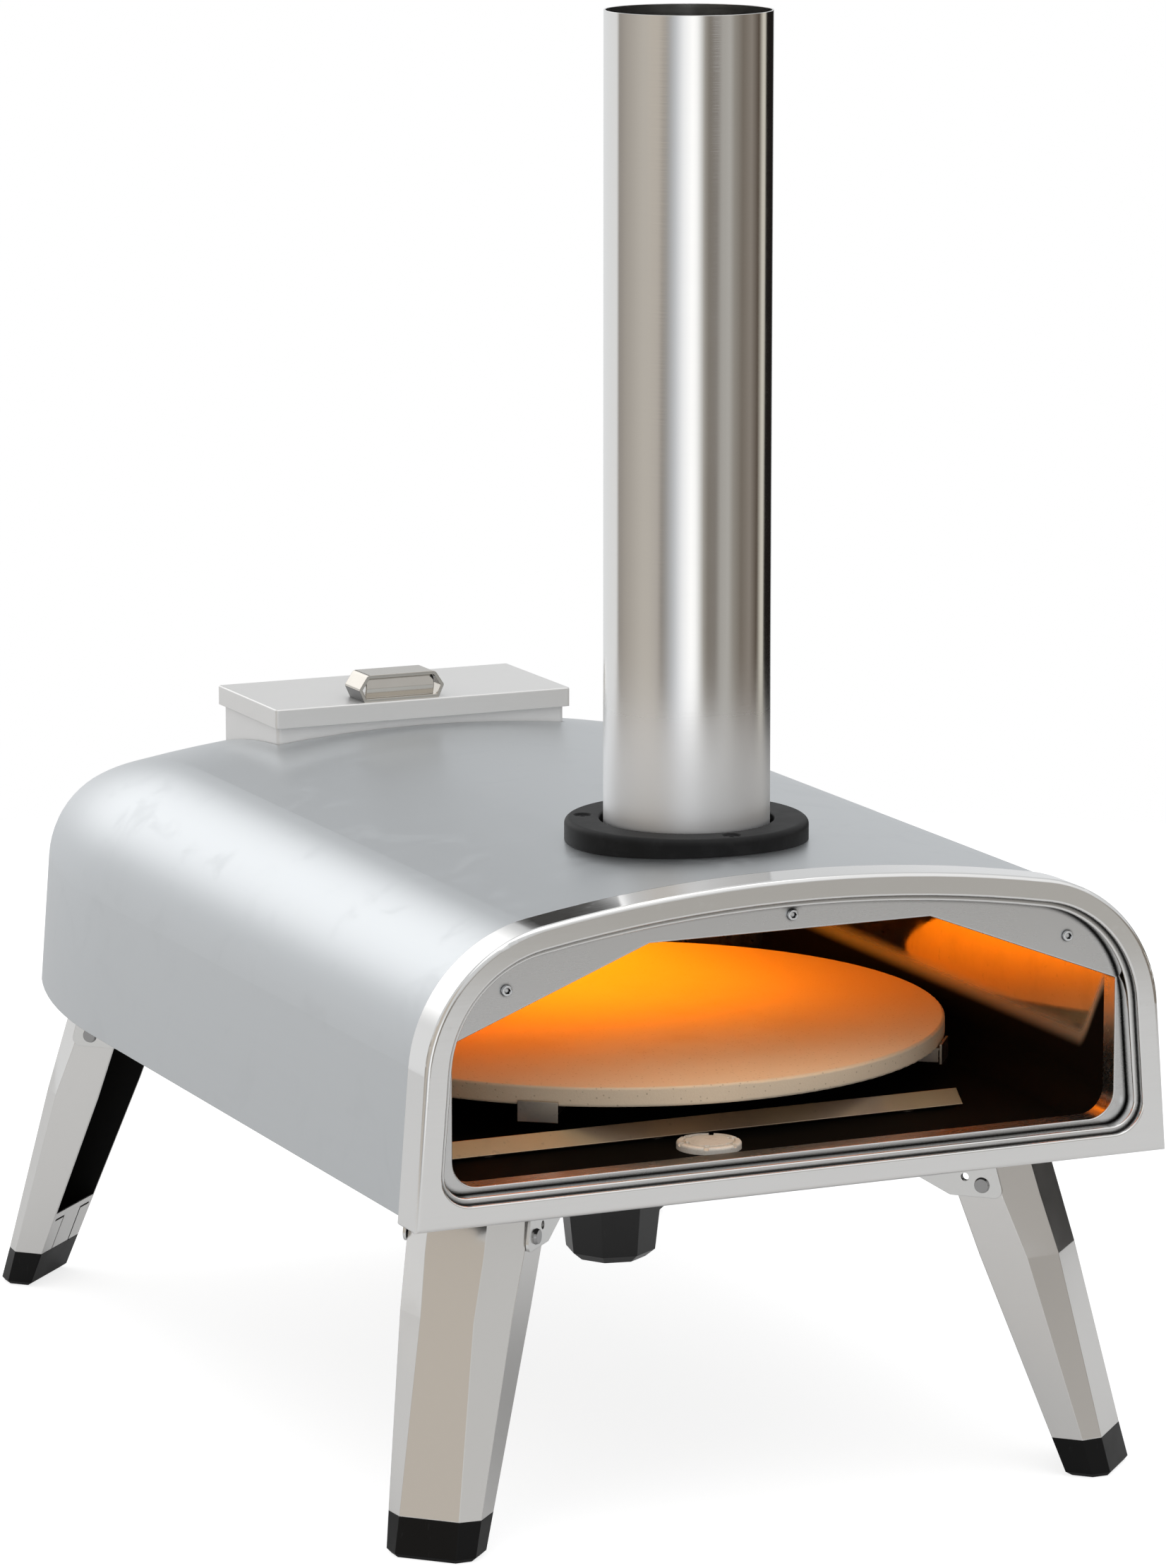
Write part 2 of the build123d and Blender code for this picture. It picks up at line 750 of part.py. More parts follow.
with BuildPart() as spindle_bush:
    with BuildSketch(turn_place(bush_bottom)):
        Circle(bush_flange_radius)
    extrude(amount=shell_bottom - bush_bottom)
    fillet(spindle_bush.edges().group_by(Axis.Z)[0], 1.5)
    with BuildSketch(turn_place(shell_bottom)):
        Circle(bush_radius)
    extrude(amount=bush_top - shell_bottom)
    with BuildSketch(turn_place(bush_bottom - 1)):
        Circle(bush_bore)
    extrude(amount=40, mode=Mode.SUBTRACT)
save(spindle_bush, "spindle_bush")

with BuildPart() as thrust_washer:
    with BuildSketch(turn_place(bush_top)):
        Circle(11)
        Circle(bush_bore, mode=Mode.SUBTRACT)
    extrude(amount=0.8)
save(thrust_washer, "thrust_washer")

with BuildPart() as spindle_clip:
    with BuildSketch(turn_place(bush_bottom - 2.0)):
        Circle(8.5)
        Circle(spindle_radius, mode=Mode.SUBTRACT)
        with Locations((0, -8)):
            Rectangle(5, 12, mode=Mode.SUBTRACT)
    extrude(amount=1.2)
save(spindle_clip, "spindle_clip")

# Turning knob: eight facets that wind round as it widens upwards
knob_facets = 8
knob_top_radius = 28.5
knob_bottom_radius = 22.5
knob_sole_radius = 17.5
knob_sole_height = 4.0
knob_turn = 44.0
knob_start_angle = 11.0

with BuildPart() as turning_knob:
    with BuildSketch(turn_place(knob_bottom)):
        RegularPolygon(knob_sole_radius, knob_facets, rotation=knob_start_angle)
    with BuildSketch(turn_place(knob_bottom + knob_sole_height)):
        RegularPolygon(knob_bottom_radius, knob_facets, rotation=knob_start_angle)
    loft(ruled=True)
    with BuildSketch(turn_place(knob_bottom + knob_sole_height)):
        RegularPolygon(knob_bottom_radius, knob_facets, rotation=knob_start_angle)
    with BuildSketch(turn_place(knob_top - 3)):
        RegularPolygon(knob_top_radius, knob_facets, rotation=knob_start_angle + knob_turn)
    loft(ruled=True)
    with BuildSketch(turn_place(knob_top - 3)):
        RegularPolygon(knob_top_radius, knob_facets, rotation=knob_start_angle + knob_turn)
    with BuildSketch(turn_place(knob_top)):
        RegularPolygon(knob_top_radius - 3, knob_facets, rotation=knob_start_angle + knob_turn)
    loft(ruled=True)
    with BuildSketch(turn_place(knob_top + 1)):
        Circle(spindle_radius + 0.1)
    extrude(amount=-(knob_top + 1 - spindle_bottom), mode=Mode.SUBTRACT)
    with BuildSketch(turn_place(knob_bottom - 1)):
        Circle(2.0)
    extrude(amount=40, mode=Mode.SUBTRACT)
    with BuildSketch(turn_place(knob_bottom - 1)):
        Circle(4.2)
    extrude(amount=9, mode=Mode.SUBTRACT)
save(turning_knob, "turning_knob")

with BuildPart() as knob_screw:
    with BuildSketch(turn_place(knob_bottom + 5.0)):
        Circle(3.8)
        RegularPolygon(1.5, 6, mode=Mode.SUBTRACT)
    extrude(amount=2.0)
    with BuildSketch(turn_place(knob_bottom + 7.0)):
        Circle(3.8)
    extrude(amount=1.0)
    with BuildSketch(turn_place(knob_bottom + 8.0)):
        Circle(1.5)
    extrude(amount=20)
save(knob_screw, "knob_screw")

# ---------------------------------------------------------------- small parts on the chamber floor
bar_back = 72.0
bar_half_span = 6.8
bar_top = 184.0
bar_height = 6.6
bar_left = -157.0
bar_right = 119.0
bar_sheet = 1.0

with BuildPart() as front_cross_bar:
    with BuildSketch(across(bar_left)):
        with BuildLine():
            Polyline(
                (front_y + bar_back - bar_half_span, bar_top - bar_height),
                (front_y + bar_back, bar_top - bar_sheet / 2),
                (front_y + bar_back + bar_half_span, bar_top - bar_height),
            )
        trace(line_width=bar_sheet)
    extrude(amount=bar_right - bar_left)
save(front_cross_bar, "front_cross_bar")

standoff_x = (-128.0, -41.0, 92.0)

with BuildPart() as bar_standoffs:
    with BuildSketch(Plane((0, front_y + bar_back, floor_z))):
        with Locations(*[(x, 0) for x in standoff_x]):
            Circle(4.0)
    extrude(amount=bar_top - floor_z)
    with BuildSketch(across(bar_left)):
        with BuildLine():
            Polyline(
                (front_y + bar_back - bar_half_span, floor_z),
                (front_y + bar_back - bar_half_span, bar_top - bar_height - bar_sheet),
                (front_y + bar_back, bar_top - 2 * bar_sheet),
                (front_y + bar_back + bar_half_span, bar_top - bar_height - bar_sheet),
                (front_y + bar_back + bar_half_span, floor_z),
                close=True,
            )
        make_face()
    extrude(amount=bar_right - bar_left, mode=Mode.INTERSECT)
save(bar_standoffs, "bar_standoffs")

cap_place = (-27.0, 43.0)
cap_radius = 15.5

with BuildPart() as floor_cap:
    with BuildSketch(Plane((cap_place[0], front_y + cap_place[1], floor_z))):
        Circle(cap_radius)
    extrude(amount=3.6)
    fillet(floor_cap.faces().sort_by(Axis.Z)[-1].edges(), 1.4)
    with BuildSketch(Plane((cap_place[0], front_y + cap_place[1], floor_z + 3.6))):
        Circle(cap_radius - 3)
        Circle(cap_radius - 4.2, mode=Mode.SUBTRACT)
        with PolarLocations(cap_radius - 1.5, 6):
            Rectangle(8, 2.4)
    extrude(amount=-1.4, mode=Mode.SUBTRACT)
save(floor_cap, "floor_cap")

# ---------------------------------------------------------------- fuel tray (slides out of the back)
tray_sheet = 1.2
tray_front_half = 86.0
tray_front_low = 172.0
tray_front_high = 237.0
tray_front_gap = 0.6
tray_front_sheet = 1.6
tray_front_start = rear_face + tray_front_gap
tray_top = tray_bottom + tray_height

with BuildPart() as fuel_tray:
    box_between((-tray_half, tray_front_end, tray_bottom), (tray_half, tray_front_start, tray_top))
    hollow_low = (-tray_half + tray_sheet, tray_front_end + tray_sheet, tray_bottom + tray_sheet)
    hollow_high = (tray_half - tray_sheet, tray_front_start - tray_sheet, tray_top + 1)
    box_between(hollow_low, hollow_high, mode=Mode.SUBTRACT)
    with BuildSketch(behind(tray_front_start - 5)):
        with Locations((0, tray_bottom + 24)):
            with GridLocations(20, 0, 6, 1):
                Circle(4.5)
    extrude(amount=-10, mode=Mode.SUBTRACT)
save(fuel_tray, "fuel_tray")

grate_z = tray_bottom + 14.0
grate_length = 128.0
grate_start = tray_front_end + tray_sheet + 0.4

with BuildPart() as fire_grate:
    with BuildSketch(level(grate_z)):
        with Locations((0, front_y + grate_start + grate_length / 2)):
            Rectangle(2 * (tray_half - tray_sheet - 0.4), grate_length)
            with GridLocations(12.5, 58, 11, 2):
                SlotCenterToCenter(44, 5, rotation=90, mode=Mode.SUBTRACT)
    extrude(amount=2.0)
    for side in (-1, 1):
        leg_x = side * (tray_half - tray_sheet - 1.4)
        leg_low = (leg_x - 1, grate_start, tray_bottom + tray_sheet)
        leg_high = (leg_x + 1, grate_start + grate_length, grate_z)
        box_between(leg_low, leg_high)
save(fire_grate, "fire_grate")

tray_front_mid = (tray_front_low + tray_front_high) / 2
tray_handle_width = 92.0
tray_handle_reach = overall_depth - tray_front_start - tray_front_sheet
tray_handle_height = 16.0
handle_hole_spacing = 71.0

with BuildPart() as tray_front:
    with BuildSketch(behind(tray_front_start)):
        with Locations((0, tray_front_mid)):
            RectangleRounded(2 * tray_front_half, tray_front_high - tray_front_low, 7)
        with Locations((0, tray_bottom + 24)):
            with GridLocations(20, 0, 6, 1):
                Circle(4.5, mode=Mode.SUBTRACT)
        with Locations((0, tray_front_high - 10)):
            with GridLocations(handle_hole_spacing, 0, 2, 1):
                Circle(2.2, mode=Mode.SUBTRACT)
    extrude(amount=-tray_front_sheet)
    fillet(tray_front.faces().sort_by(Axis.Y)[-1].outer_wire().edges(), 0.8)
save(tray_front, "tray_front")

handle_plane = Plane(
    origin=(0, front_y + tray_front_start + tray_front_sheet, tray_front_high - 10 - tray_handle_height / 2),
    x_dir=(1, 0, 0),
    z_dir=(0, 0, -1),
)

with BuildPart() as tray_handle:
    with BuildSketch(handle_plane):
        with BuildLine():
            FilletPolyline(
                (-tray_handle_width / 2 + 18, -strip / 2),
                (-tray_handle_width / 2, -strip / 2),
                (-tray_handle_width / 2 + 4, -tray_handle_reach + strip / 2),
                (tray_handle_width / 2 - 4, -tray_handle_reach + strip / 2),
                (tray_handle_width / 2, -strip / 2),
                (tray_handle_width / 2 - 18, -strip / 2),
                radius=5,
            )
        trace(line_width=strip)
    extrude(amount=-tray_handle_height)
    with BuildSketch(behind(tray_front_start)):
        with Locations((0, tray_front_high - 10)):
            with GridLocations(handle_hole_spacing, 0, 2, 1):
                Circle(2.2)
    extrude(amount=-6, mode=Mode.SUBTRACT)
save(tray_handle, "tray_handle")

with BuildPart() as tray_handle_screws:
    screw_seat = tray_front_start + tray_front_sheet + strip
    with BuildSketch(behind(tray_front_start)):
        with Locations((0, tray_front_high - 10)):
            with GridLocations(handle_hole_spacing, 0, 2, 1):
                Circle(2.0)
    extrude(amount=-(screw_seat - tray_front_start))
    with BuildSketch(behind(screw_seat)):
        with Locations((0, tray_front_high - 10)):
            with GridLocations(handle_hole_spacing, 0, 2, 1):
                Circle(4.0)
    extrude(amount=-2.2)
    fillet(tray_handle_screws.edges().group_by(Axis.Y)[-1], 1.0)
save(tray_handle_screws, "tray_handle_screws")

# ---------------------------------------------------------------- folding legs
# Each level of a leg: height, outward face, half width of the face, chamfer across,
# chamfer inwards, and depth of the side plates. Distances inwards and outwards are from the pivot.
sole_level = (0.0, 61.9, 15.3, 6.9, 6.9, 20.1)
ankle_level = (foot_cap_top, 56.7, 14.9, 8.3, 7.1, 22.5)
bend_level = (108.0, 33.4, 13.3, 14.7, 11.2, 35.4)
hip_level = (137.0, 23.9, 14.7, 14.9, 13.8, 36.5)
top_level = (161.6, 16.2, 14.7, 14.9, 14.8, 37.5)
hip_half = hip_level[2] + hip_level[3]
swing_radius = 15.5
tab_top_z = 41.5
tab_slit_top = 38.0
tab_slit = 1.2
slit_out = 9.6
slit_end = 21.0
lock_hole = (-8.6, 146.5)
lock_radius = 2.0


def leg_outline(levels, z):
    """Open outline of the leg's section at a height between two levels."""
    low, high = levels
    share = (z - low[0]) / (high[0] - low[0])
    face, half, across_cut, inward_cut, depth = [low[i] + share * (high[i] - low[i]) for i in range(1, 6)]
    side = half + across_cut
    right = [(face - depth, -side), (face - inward_cut, -side), (face, -half)]
    return right + [(x, -y) for x, y in reversed(right)]


def inset_line(points, amount):
    """The same open line moved to its left by an amount."""
    normals = []
    for (x0, y0), (x1, y1) in zip(points, points[1:]):
        length = sqrt((x1 - x0) ** 2 + (y1 - y0) ** 2)
        normals.append(((y0 - y1) / length, (x1 - x0) / length))
    moved = []
    for i, (x, y) in enumerate(points):
        a = normals[max(i - 1, 0)]
        b = normals[min(i, len(normals) - 1)]
        scale = amount / (1 + a[0] * b[0] + a[1] * b[1])
        moved.append((x + scale * (a[0] + b[0]), y + scale * (a[1] + b[1])))
    return moved


def side_plane(base, offset_across):
    """Upright plane beside the leg's middle: local x outwards, local y up."""
    spot = base.from_local_coords(Vector(0, offset_across, 0))
    return Plane(origin=spot, x_dir=base.x_dir, z_dir=-base.y_dir)


def polygon(plane, points):
    """A closed polygon on a plane."""
    with BuildSketch(plane) as shape:
        with BuildLine():
            Polyline(*points, close=True)
        make_face()
    return shape.sketch


def make_leg(base, name):
    """A folded channel, open inwards, with a rounded hinge end and tabs at the foot."""
    with BuildPart() as leg:
        for levels in ((ankle_level, bend_level), (bend_level, hip_level), (hip_level, top_level)):
            sections = []
            for z in (levels[0][0], levels[1][0]):
                outline = leg_outline(levels, z)
                sections.append(polygon(base.offset(z), outline + inset_line(outline, leg_sheet)[::-1]))
            loft(sections, ruled=True)
        sections = []
        for z in (foot_cap_top, tab_top_z):
            edge_x, edge_y = leg_outline((ankle_level, bend_level), z)[0]
            corners = [(edge_x, edge_y), (edge_x, -edge_y)]
            corners += [(edge_x + leg_sheet, -edge_y), (edge_x + leg_sheet, edge_y)]
            sections.append(polygon(base.offset(z), corners))
        loft(sections, ruled=True)
        for side in (-1, 1):
            with BuildSketch(Plane(origin=base.origin, x_dir=base.y_dir, z_dir=base.x_dir)):
                with BuildLine():
                    Polyline(
                        (side * slit_out, 0),
                        (side * slit_out, tab_slit_top),
                        (side * slit_end, tab_slit_top),
                        (side * slit_end, tab_slit_top - tab_slit),
                        (side * (slit_out + tab_slit), tab_slit_top - tab_slit),
                        (side * (slit_out + tab_slit), 0),
                        close=True,
                    )
                make_face()
            extrude(amount=42, mode=Mode.SUBTRACT)
        with BuildSketch(side_plane(base, -60)):
            with Locations((-20, pivot_z + 20)):
                Rectangle(40, 40)
            with Locations((0, pivot_z)):
                Circle(swing_radius, mode=Mode.SUBTRACT)
            with Locations((0, pivot_z)):
                Circle(pivot_radius + 0.08)
            with Locations(lock_hole):
                Circle(lock_radius)
        extrude(amount=-120, mode=Mode.SUBTRACT)
        gable_origin = base.from_local_coords(Vector(40, 0, 0))
        with BuildSketch(Plane(origin=gable_origin, x_dir=base.y_dir, z_dir=base.x_dir)):
            for side in (-1, 1):
                with BuildLine():
                    Polyline((side * 3, 165), (side * 14.6, 156.2), (side * 14.6, 165), close=True)
                make_face()
        extrude(amount=-60, mode=Mode.SUBTRACT)
    save(leg, name)


def make_foot(base, name):
    """Plastic cap under the leg, with a plug that stands inside the channel."""
    with BuildPart() as foot:
        foot_levels = (sole_level, ankle_level)
        sections = [polygon(base.offset(z), leg_outline(foot_levels, z)) for z in (0, foot_cap_top)]
        loft(sections, ruled=True)
        chamfer(foot.faces().sort_by(Axis.Z)[0].edges(), 2.0)
        sections = []
        for z in (foot_cap_top, foot_cap_top + 14):
            inner = inset_line(leg_outline((ankle_level, bend_level), z), leg_sheet + fit_gap)
            inner[0] = (inner[0][0] + leg_sheet + fit_gap, inner[0][1])
            inner[-1] = (inner[-1][0] + leg_sheet + fit_gap, inner[-1][1])
            sections.append(polygon(base.offset(z), inner))
        loft(sections, ruled=True)
    save(foot, name)


def make_bracket(base, name):
    """Two cheeks under a web that is screwed to the bottom plate."""
    web_z = shell_bottom - cheek_sheet
    cheek = hip_half + 0.5
    with BuildPart() as bracket:
        for side in (-1, 1):
            start = side * cheek if side < 0 else side * cheek + cheek_sheet
            with BuildSketch(side_plane(base, start)) as outline:
                with BuildLine():
                    Polyline(
                        (-15.9, 137.0),
                        (-32.0, 144.6),
                        (-62.0, 159.0),
                        (-62.0, shell_bottom),
                        (3.4, shell_bottom),
                        (11.2, 137.0),
                        close=True,
                    )
                face = make_face()
                fillet(face.vertices().group_by(Axis.Y)[0], 4.0)
                with Locations((0, pivot_z)):
                    Circle(pivot_radius + 0.1, mode=Mode.SUBTRACT)
                with Locations(lock_hole):
                    Circle(lock_radius, mode=Mode.SUBTRACT)
            extrude(amount=cheek_sheet)
        with BuildSketch(base.offset(web_z)):
            with Locations((-30, 0)):
                Rectangle(64, 2 * cheek + 0.2)
            with Locations(bracket_screw_places):
                Circle(2.3, mode=Mode.SUBTRACT)
        extrude(amount=cheek_sheet)
    save(bracket, name)


for corner, base in leg_bases.items():
    make_leg(base, f"leg_{corner}")
    make_foot(base, f"foot_{corner}")
    make_bracket(base, f"bracket_{corner}")

pin_half = hip_half + 0.5 + cheek_sheet
pin_head_radius = 3.9

with BuildPart() as leg_pivot_pins:
    for base in leg_bases.values():
        with BuildSketch(side_plane(base, -pin_half)):
            with Locations((0, pivot_z)):
                Circle(pivot_radius)
        extrude(amount=-2 * pin_half)
        for side in (-1, 1):
            with BuildSketch(side_plane(base, side * pin_half)):
                with Locations((0, pivot_z)):
                    Circle(pin_head_radius)
            extrude(amount=-side * 1.5, taper=20)
save(leg_pivot_pins, "leg_pivot_pins")

with BuildPart() as bracket_screws:
    for base in leg_bases.values():
        with BuildSketch(base.offset(shell_bottom - cheek_sheet - 2)):
            with Locations(bracket_screw_places):
                Circle(3.8)
        extrude(amount=2)
        with BuildSketch(base.offset(shell_bottom - cheek_sheet)):
            with Locations(bracket_screw_places):
                Circle(2.0)
        extrude(amount=8)
save(bracket_screws, "bracket_screws")
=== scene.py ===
import json
from math import cos, pi, radians, sin, sqrt

import bmesh
import bpy
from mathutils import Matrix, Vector

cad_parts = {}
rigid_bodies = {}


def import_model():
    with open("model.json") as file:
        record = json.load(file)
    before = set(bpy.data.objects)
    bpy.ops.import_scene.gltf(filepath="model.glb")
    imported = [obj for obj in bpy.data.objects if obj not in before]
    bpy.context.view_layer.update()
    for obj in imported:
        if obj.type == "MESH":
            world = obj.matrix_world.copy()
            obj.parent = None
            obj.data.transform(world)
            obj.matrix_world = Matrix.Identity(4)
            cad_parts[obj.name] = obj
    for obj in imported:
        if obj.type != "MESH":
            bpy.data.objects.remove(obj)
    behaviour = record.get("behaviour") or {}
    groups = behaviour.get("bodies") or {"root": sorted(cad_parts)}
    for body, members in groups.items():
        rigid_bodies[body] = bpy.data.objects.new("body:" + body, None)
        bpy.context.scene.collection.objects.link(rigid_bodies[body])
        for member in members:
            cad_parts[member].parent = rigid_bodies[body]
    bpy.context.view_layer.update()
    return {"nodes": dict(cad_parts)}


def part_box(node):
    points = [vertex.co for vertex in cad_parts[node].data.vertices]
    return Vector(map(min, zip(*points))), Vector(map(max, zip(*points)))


for leftover in list(bpy.data.objects):
    bpy.data.objects.remove(leftover)

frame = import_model()
nodes = frame["nodes"]

# ---------------------------------------------------------------- camera
camera_place = (-1.3411, -3.0194, 0.9318)
camera_yaw = 24.377
camera_pitch = -10.789
camera_lens = 153.2
camera_sensor = 36.0

camera_data = bpy.data.cameras.new("camera")
camera_data.lens = camera_lens
camera_data.sensor_width = camera_sensor
camera = bpy.data.objects.new("camera", camera_data)
camera.location = camera_place
camera.rotation_euler = (radians(90 + camera_pitch), 0, radians(-camera_yaw))
bpy.context.scene.collection.objects.link(camera)
bpy.context.scene.camera = camera
bpy.context.scene.view_settings.view_transform = "Standard"
bpy.context.scene.view_settings.look = "None"


# ---------------------------------------------------------------- node helpers
def colour(value):
    """Three numbers as a colour with alpha; sockets pass through."""
    if isinstance(value, (tuple, list)) and len(value) == 3:
        return (*value, 1.0)
    return value


def darker(shade, share):
    """This share of a colour."""
    return [channel * share for channel in shade]


class Graph:
    """Builds a node tree with short calls."""

    def __init__(self, tree):
        self.tree = tree
        tree.nodes.clear()

    def add(self, kind, **settings):
        """A node of this kind, with its properties set."""
        made = self.tree.nodes.new(kind)
        for key, value in settings.items():
            setattr(made, key, value)
        return made

    def set(self, socket, value):
        """Links an output to a socket, or sets its own value; None leaves it alone."""
        if isinstance(value, bpy.types.NodeSocket):
            self.tree.links.new(value, socket)
        elif value is not None:
            socket.default_value = value

    def math(self, operation, *values):
        """A Math node's output."""
        made = self.add("ShaderNodeMath", operation=operation)
        for socket, value in zip(made.inputs, values):
            self.set(socket, value)
        return made.outputs[0]

    def multiply(self, a, b):
        """a times b."""
        return self.math("MULTIPLY", a, b)

    def multiply_add(self, a, b, c):
        """a times b, plus c."""
        return self.math("MULTIPLY_ADD", a, b, c)

    def subtract(self, a, b):
        """a less b."""
        return self.math("SUBTRACT", a, b)

    def larger(self, a, b):
        """The larger of a and b."""
        return self.math("MAXIMUM", a, b)

    def vector_math(self, operation, *values):
        """A Vector Math node."""
        made = self.add("ShaderNodeVectorMath", operation=operation)
        for socket, value in zip(made.inputs, values):
            self.set(socket, value)
        return made

    def step(self, value, low, high):
        """0 below low and 1 above high, smooth in between."""
        made = self.add("ShaderNodeMapRange", interpolation_type="SMOOTHSTEP")
        for key, given in (("Value", value), ("From Min", low), ("From Max", high)):
            self.set(made.inputs[key], given)
        return made.outputs[0]

    def fade(self, value, low, high):
        """1 below low and 0 above high, smooth in between."""
        return self.subtract(1.0, self.step(value, low, high))

    def spread(self, value, low, high):
        """A 0 to 1 value spread from low to high."""
        made = self.add("ShaderNodeMapRange")
        for key, given in (("Value", value), ("To Min", low), ("To Max", high)):
            self.set(made.inputs[key], given)
        return made.outputs[0]

    def mix(self, factor, a, b):
        """A colour between a and b."""
        made = self.add("ShaderNodeMix", data_type="RGBA")
        self.set(made.inputs[0], factor)
        self.set(made.inputs[6], colour(a))
        self.set(made.inputs[7], colour(b))
        return made.outputs[2]

    def ramp(self, value, stops):
        """A Color Ramp with (position, colour) stops."""
        made = self.add("ShaderNodeValToRGB")
        elements = made.color_ramp.elements
        while len(elements) < len(stops):
            elements.new(1.0)
        for element, (position, shade) in zip(elements, stops):
            element.position = position
            element.color = colour(shade)
        self.set(made.inputs[0], value)
        return made.outputs[0]

    def axes(self, vector):
        """A vector's X, Y and Z outputs."""
        split = self.add("ShaderNodeSeparateXYZ")
        self.set(split.inputs[0], vector)
        return split.outputs

    def coords(self, scale=(1, 1, 1)):
        """Object coordinates in metres, scaled."""
        place = self.add("ShaderNodeTexCoord")
        mapping = self.add("ShaderNodeMapping")
        mapping.inputs["Scale"].default_value = scale
        self.set(mapping.inputs[0], place.outputs["Object"])
        return mapping.outputs[0]

    def place(self):
        """The X, Y and Z of the point, in metres."""
        return self.axes(self.coords())

    def facing(self):
        """The X, Y and Z of the surface's direction."""
        return self.axes(self.add("ShaderNodeTexCoord").outputs["Normal"])

    def noise(self, scale, detail=2.0, roughness=0.5, vector=None, distortion=0.0):
        """A Noise texture's value."""
        made = self.add("ShaderNodeTexNoise")
        made.inputs["Scale"].default_value = scale
        made.inputs["Detail"].default_value = detail
        made.inputs["Roughness"].default_value = roughness
        made.inputs["Distortion"].default_value = distortion
        self.set(made.inputs["Vector"], vector if vector else self.coords())
        return made.outputs[0]

    def cells(self, feature, scale):
        """A Voronoi texture's distance."""
        made = self.add("ShaderNodeTexVoronoi", feature=feature)
        made.inputs["Scale"].default_value = scale
        self.set(made.inputs["Vector"], self.coords())
        return made.outputs["Distance"]

    def openness(self, distance, only_local=False):
        """1 in the open and less within this distance of a neighbour."""
        made = self.add("ShaderNodeAmbientOcclusion", samples=8, only_local=only_local)
        made.inputs["Distance"].default_value = distance
        return made.outputs["AO"]

    def edge_normal(self, radius):
        """Normals that round the edges a little."""
        made = self.add("ShaderNodeBevel", samples=6)
        made.inputs["Radius"].default_value = radius
        return made.outputs[0]

    def bump(self, height, strength, distance, normal):
        """A Bump node's normal."""
        made = self.add("ShaderNodeBump")
        made.inputs["Strength"].default_value = strength
        made.inputs["Distance"].default_value = distance
        self.set(made.inputs["Height"], height)
        self.set(made.inputs["Normal"], normal)
        return made.outputs[0]


def start_material(name, metallic, rough, specular=None):
    """A new material with a Principled shader; returns its graph and shader."""
    made = bpy.data.materials.new(name)
    made.use_nodes = True
    graph = Graph(made.node_tree)
    shader = graph.add("ShaderNodeBsdfPrincipled")
    shader.inputs["Metallic"].default_value = metallic
    shader.inputs["Roughness"].default_value = rough
    graph.set(shader.inputs["Specular IOR Level"], specular)
    output = graph.add("ShaderNodeOutputMaterial")
    graph.set(output.inputs[0], shader.outputs[0])
    return made, graph, shader


def give(graph, shader, base, rough, normal):
    """Gives a shader its colour, roughness and normal."""
    graph.set(shader.inputs["Base Color"], base)
    graph.set(shader.inputs["Roughness"], rough)
    graph.set(shader.inputs["Normal"], normal)


# ---------------------------------------------------------------- metals
def steel(
    name, shade, rough, grain=(1, 1, 1), grain_depth=0.00002,
    smudge=0.05, edge=0.0004, metal=1.0, crevice=0.0,
):
    """Sheet steel: directional grain, uneven gloss from handling and softened edges.

    A crevice distance paints near-black shade on what lies that close to a neighbour.
    """
    made, graph, shader = start_material(name, metal, rough)
    lines = graph.noise(900.0, 3.0, 0.6, graph.coords(grain))
    cloud = graph.noise(9.0, 4.0, 0.55)
    speck = graph.noise(160.0, 2.0, 0.5)
    worn = graph.multiply(graph.step(speck, 0.60, 0.72), 0.3)
    base = graph.mix(graph.spread(cloud, 0.0, 0.16), shade, darker(shade, 0.80))
    base = graph.mix(graph.spread(lines, 0.0, 0.10), base, darker(shade, 0.72))
    if crevice:
        # Painted shade: near black where a neighbour lies within the crevice distance, for the
        # dark lines in the frame's grooves and at the panel step.
        crevice_shade = graph.fade(graph.openness(crevice), 0.56, 0.84)
        base = graph.mix(crevice_shade, base, (0.012, 0.011, 0.010))
    uneven = graph.multiply_add(graph.step(cloud, 0.35, 0.70), smudge, rough - smudge / 2)
    uneven = graph.multiply_add(lines, 0.06, uneven)
    uneven = graph.multiply_add(worn, 0.08, uneven)
    normal = graph.bump(lines, 0.35, grain_depth, graph.edge_normal(edge))
    give(graph, shader, base, uneven, normal)
    return made


def satin_shell():
    """Fine satin stainless: blasted grain, faint rolling marks, soft clouds and smears."""
    made, graph, shader = start_material("satin_shell", 1.0, 0.36)
    grain = graph.noise(2600.0, 3.0, 0.65)
    rolled = graph.noise(420.0, 2.0, 0.5, graph.coords((1.0, 0.03, 1.0)))
    cloud = graph.noise(5.5, 4.0, 0.5, distortion=0.4)
    smear = graph.noise(26.0, 5.0, 0.62, distortion=1.2)
    clouded = graph.spread(cloud, 0.0, 0.22)
    base = graph.mix(clouded, (0.665, 0.688, 0.706), (0.610, 0.634, 0.654))
    base = graph.mix(graph.spread(grain, 0.0, 0.16), base, (0.55, 0.58, 0.60))
    base = graph.mix(graph.spread(rolled, 0.0, 0.07), base, (0.76, 0.775, 0.785))
    rough = graph.multiply_add(graph.step(smear, 0.52, 0.70), 0.05, 0.335)
    rough = graph.multiply_add(grain, 0.05, rough)
    normal = graph.bump(rolled, 0.25, 0.00001, graph.edge_normal(0.0006))
    give(graph, shader, base, rough, graph.bump(grain, 0.4, 0.00003, normal))
    return made


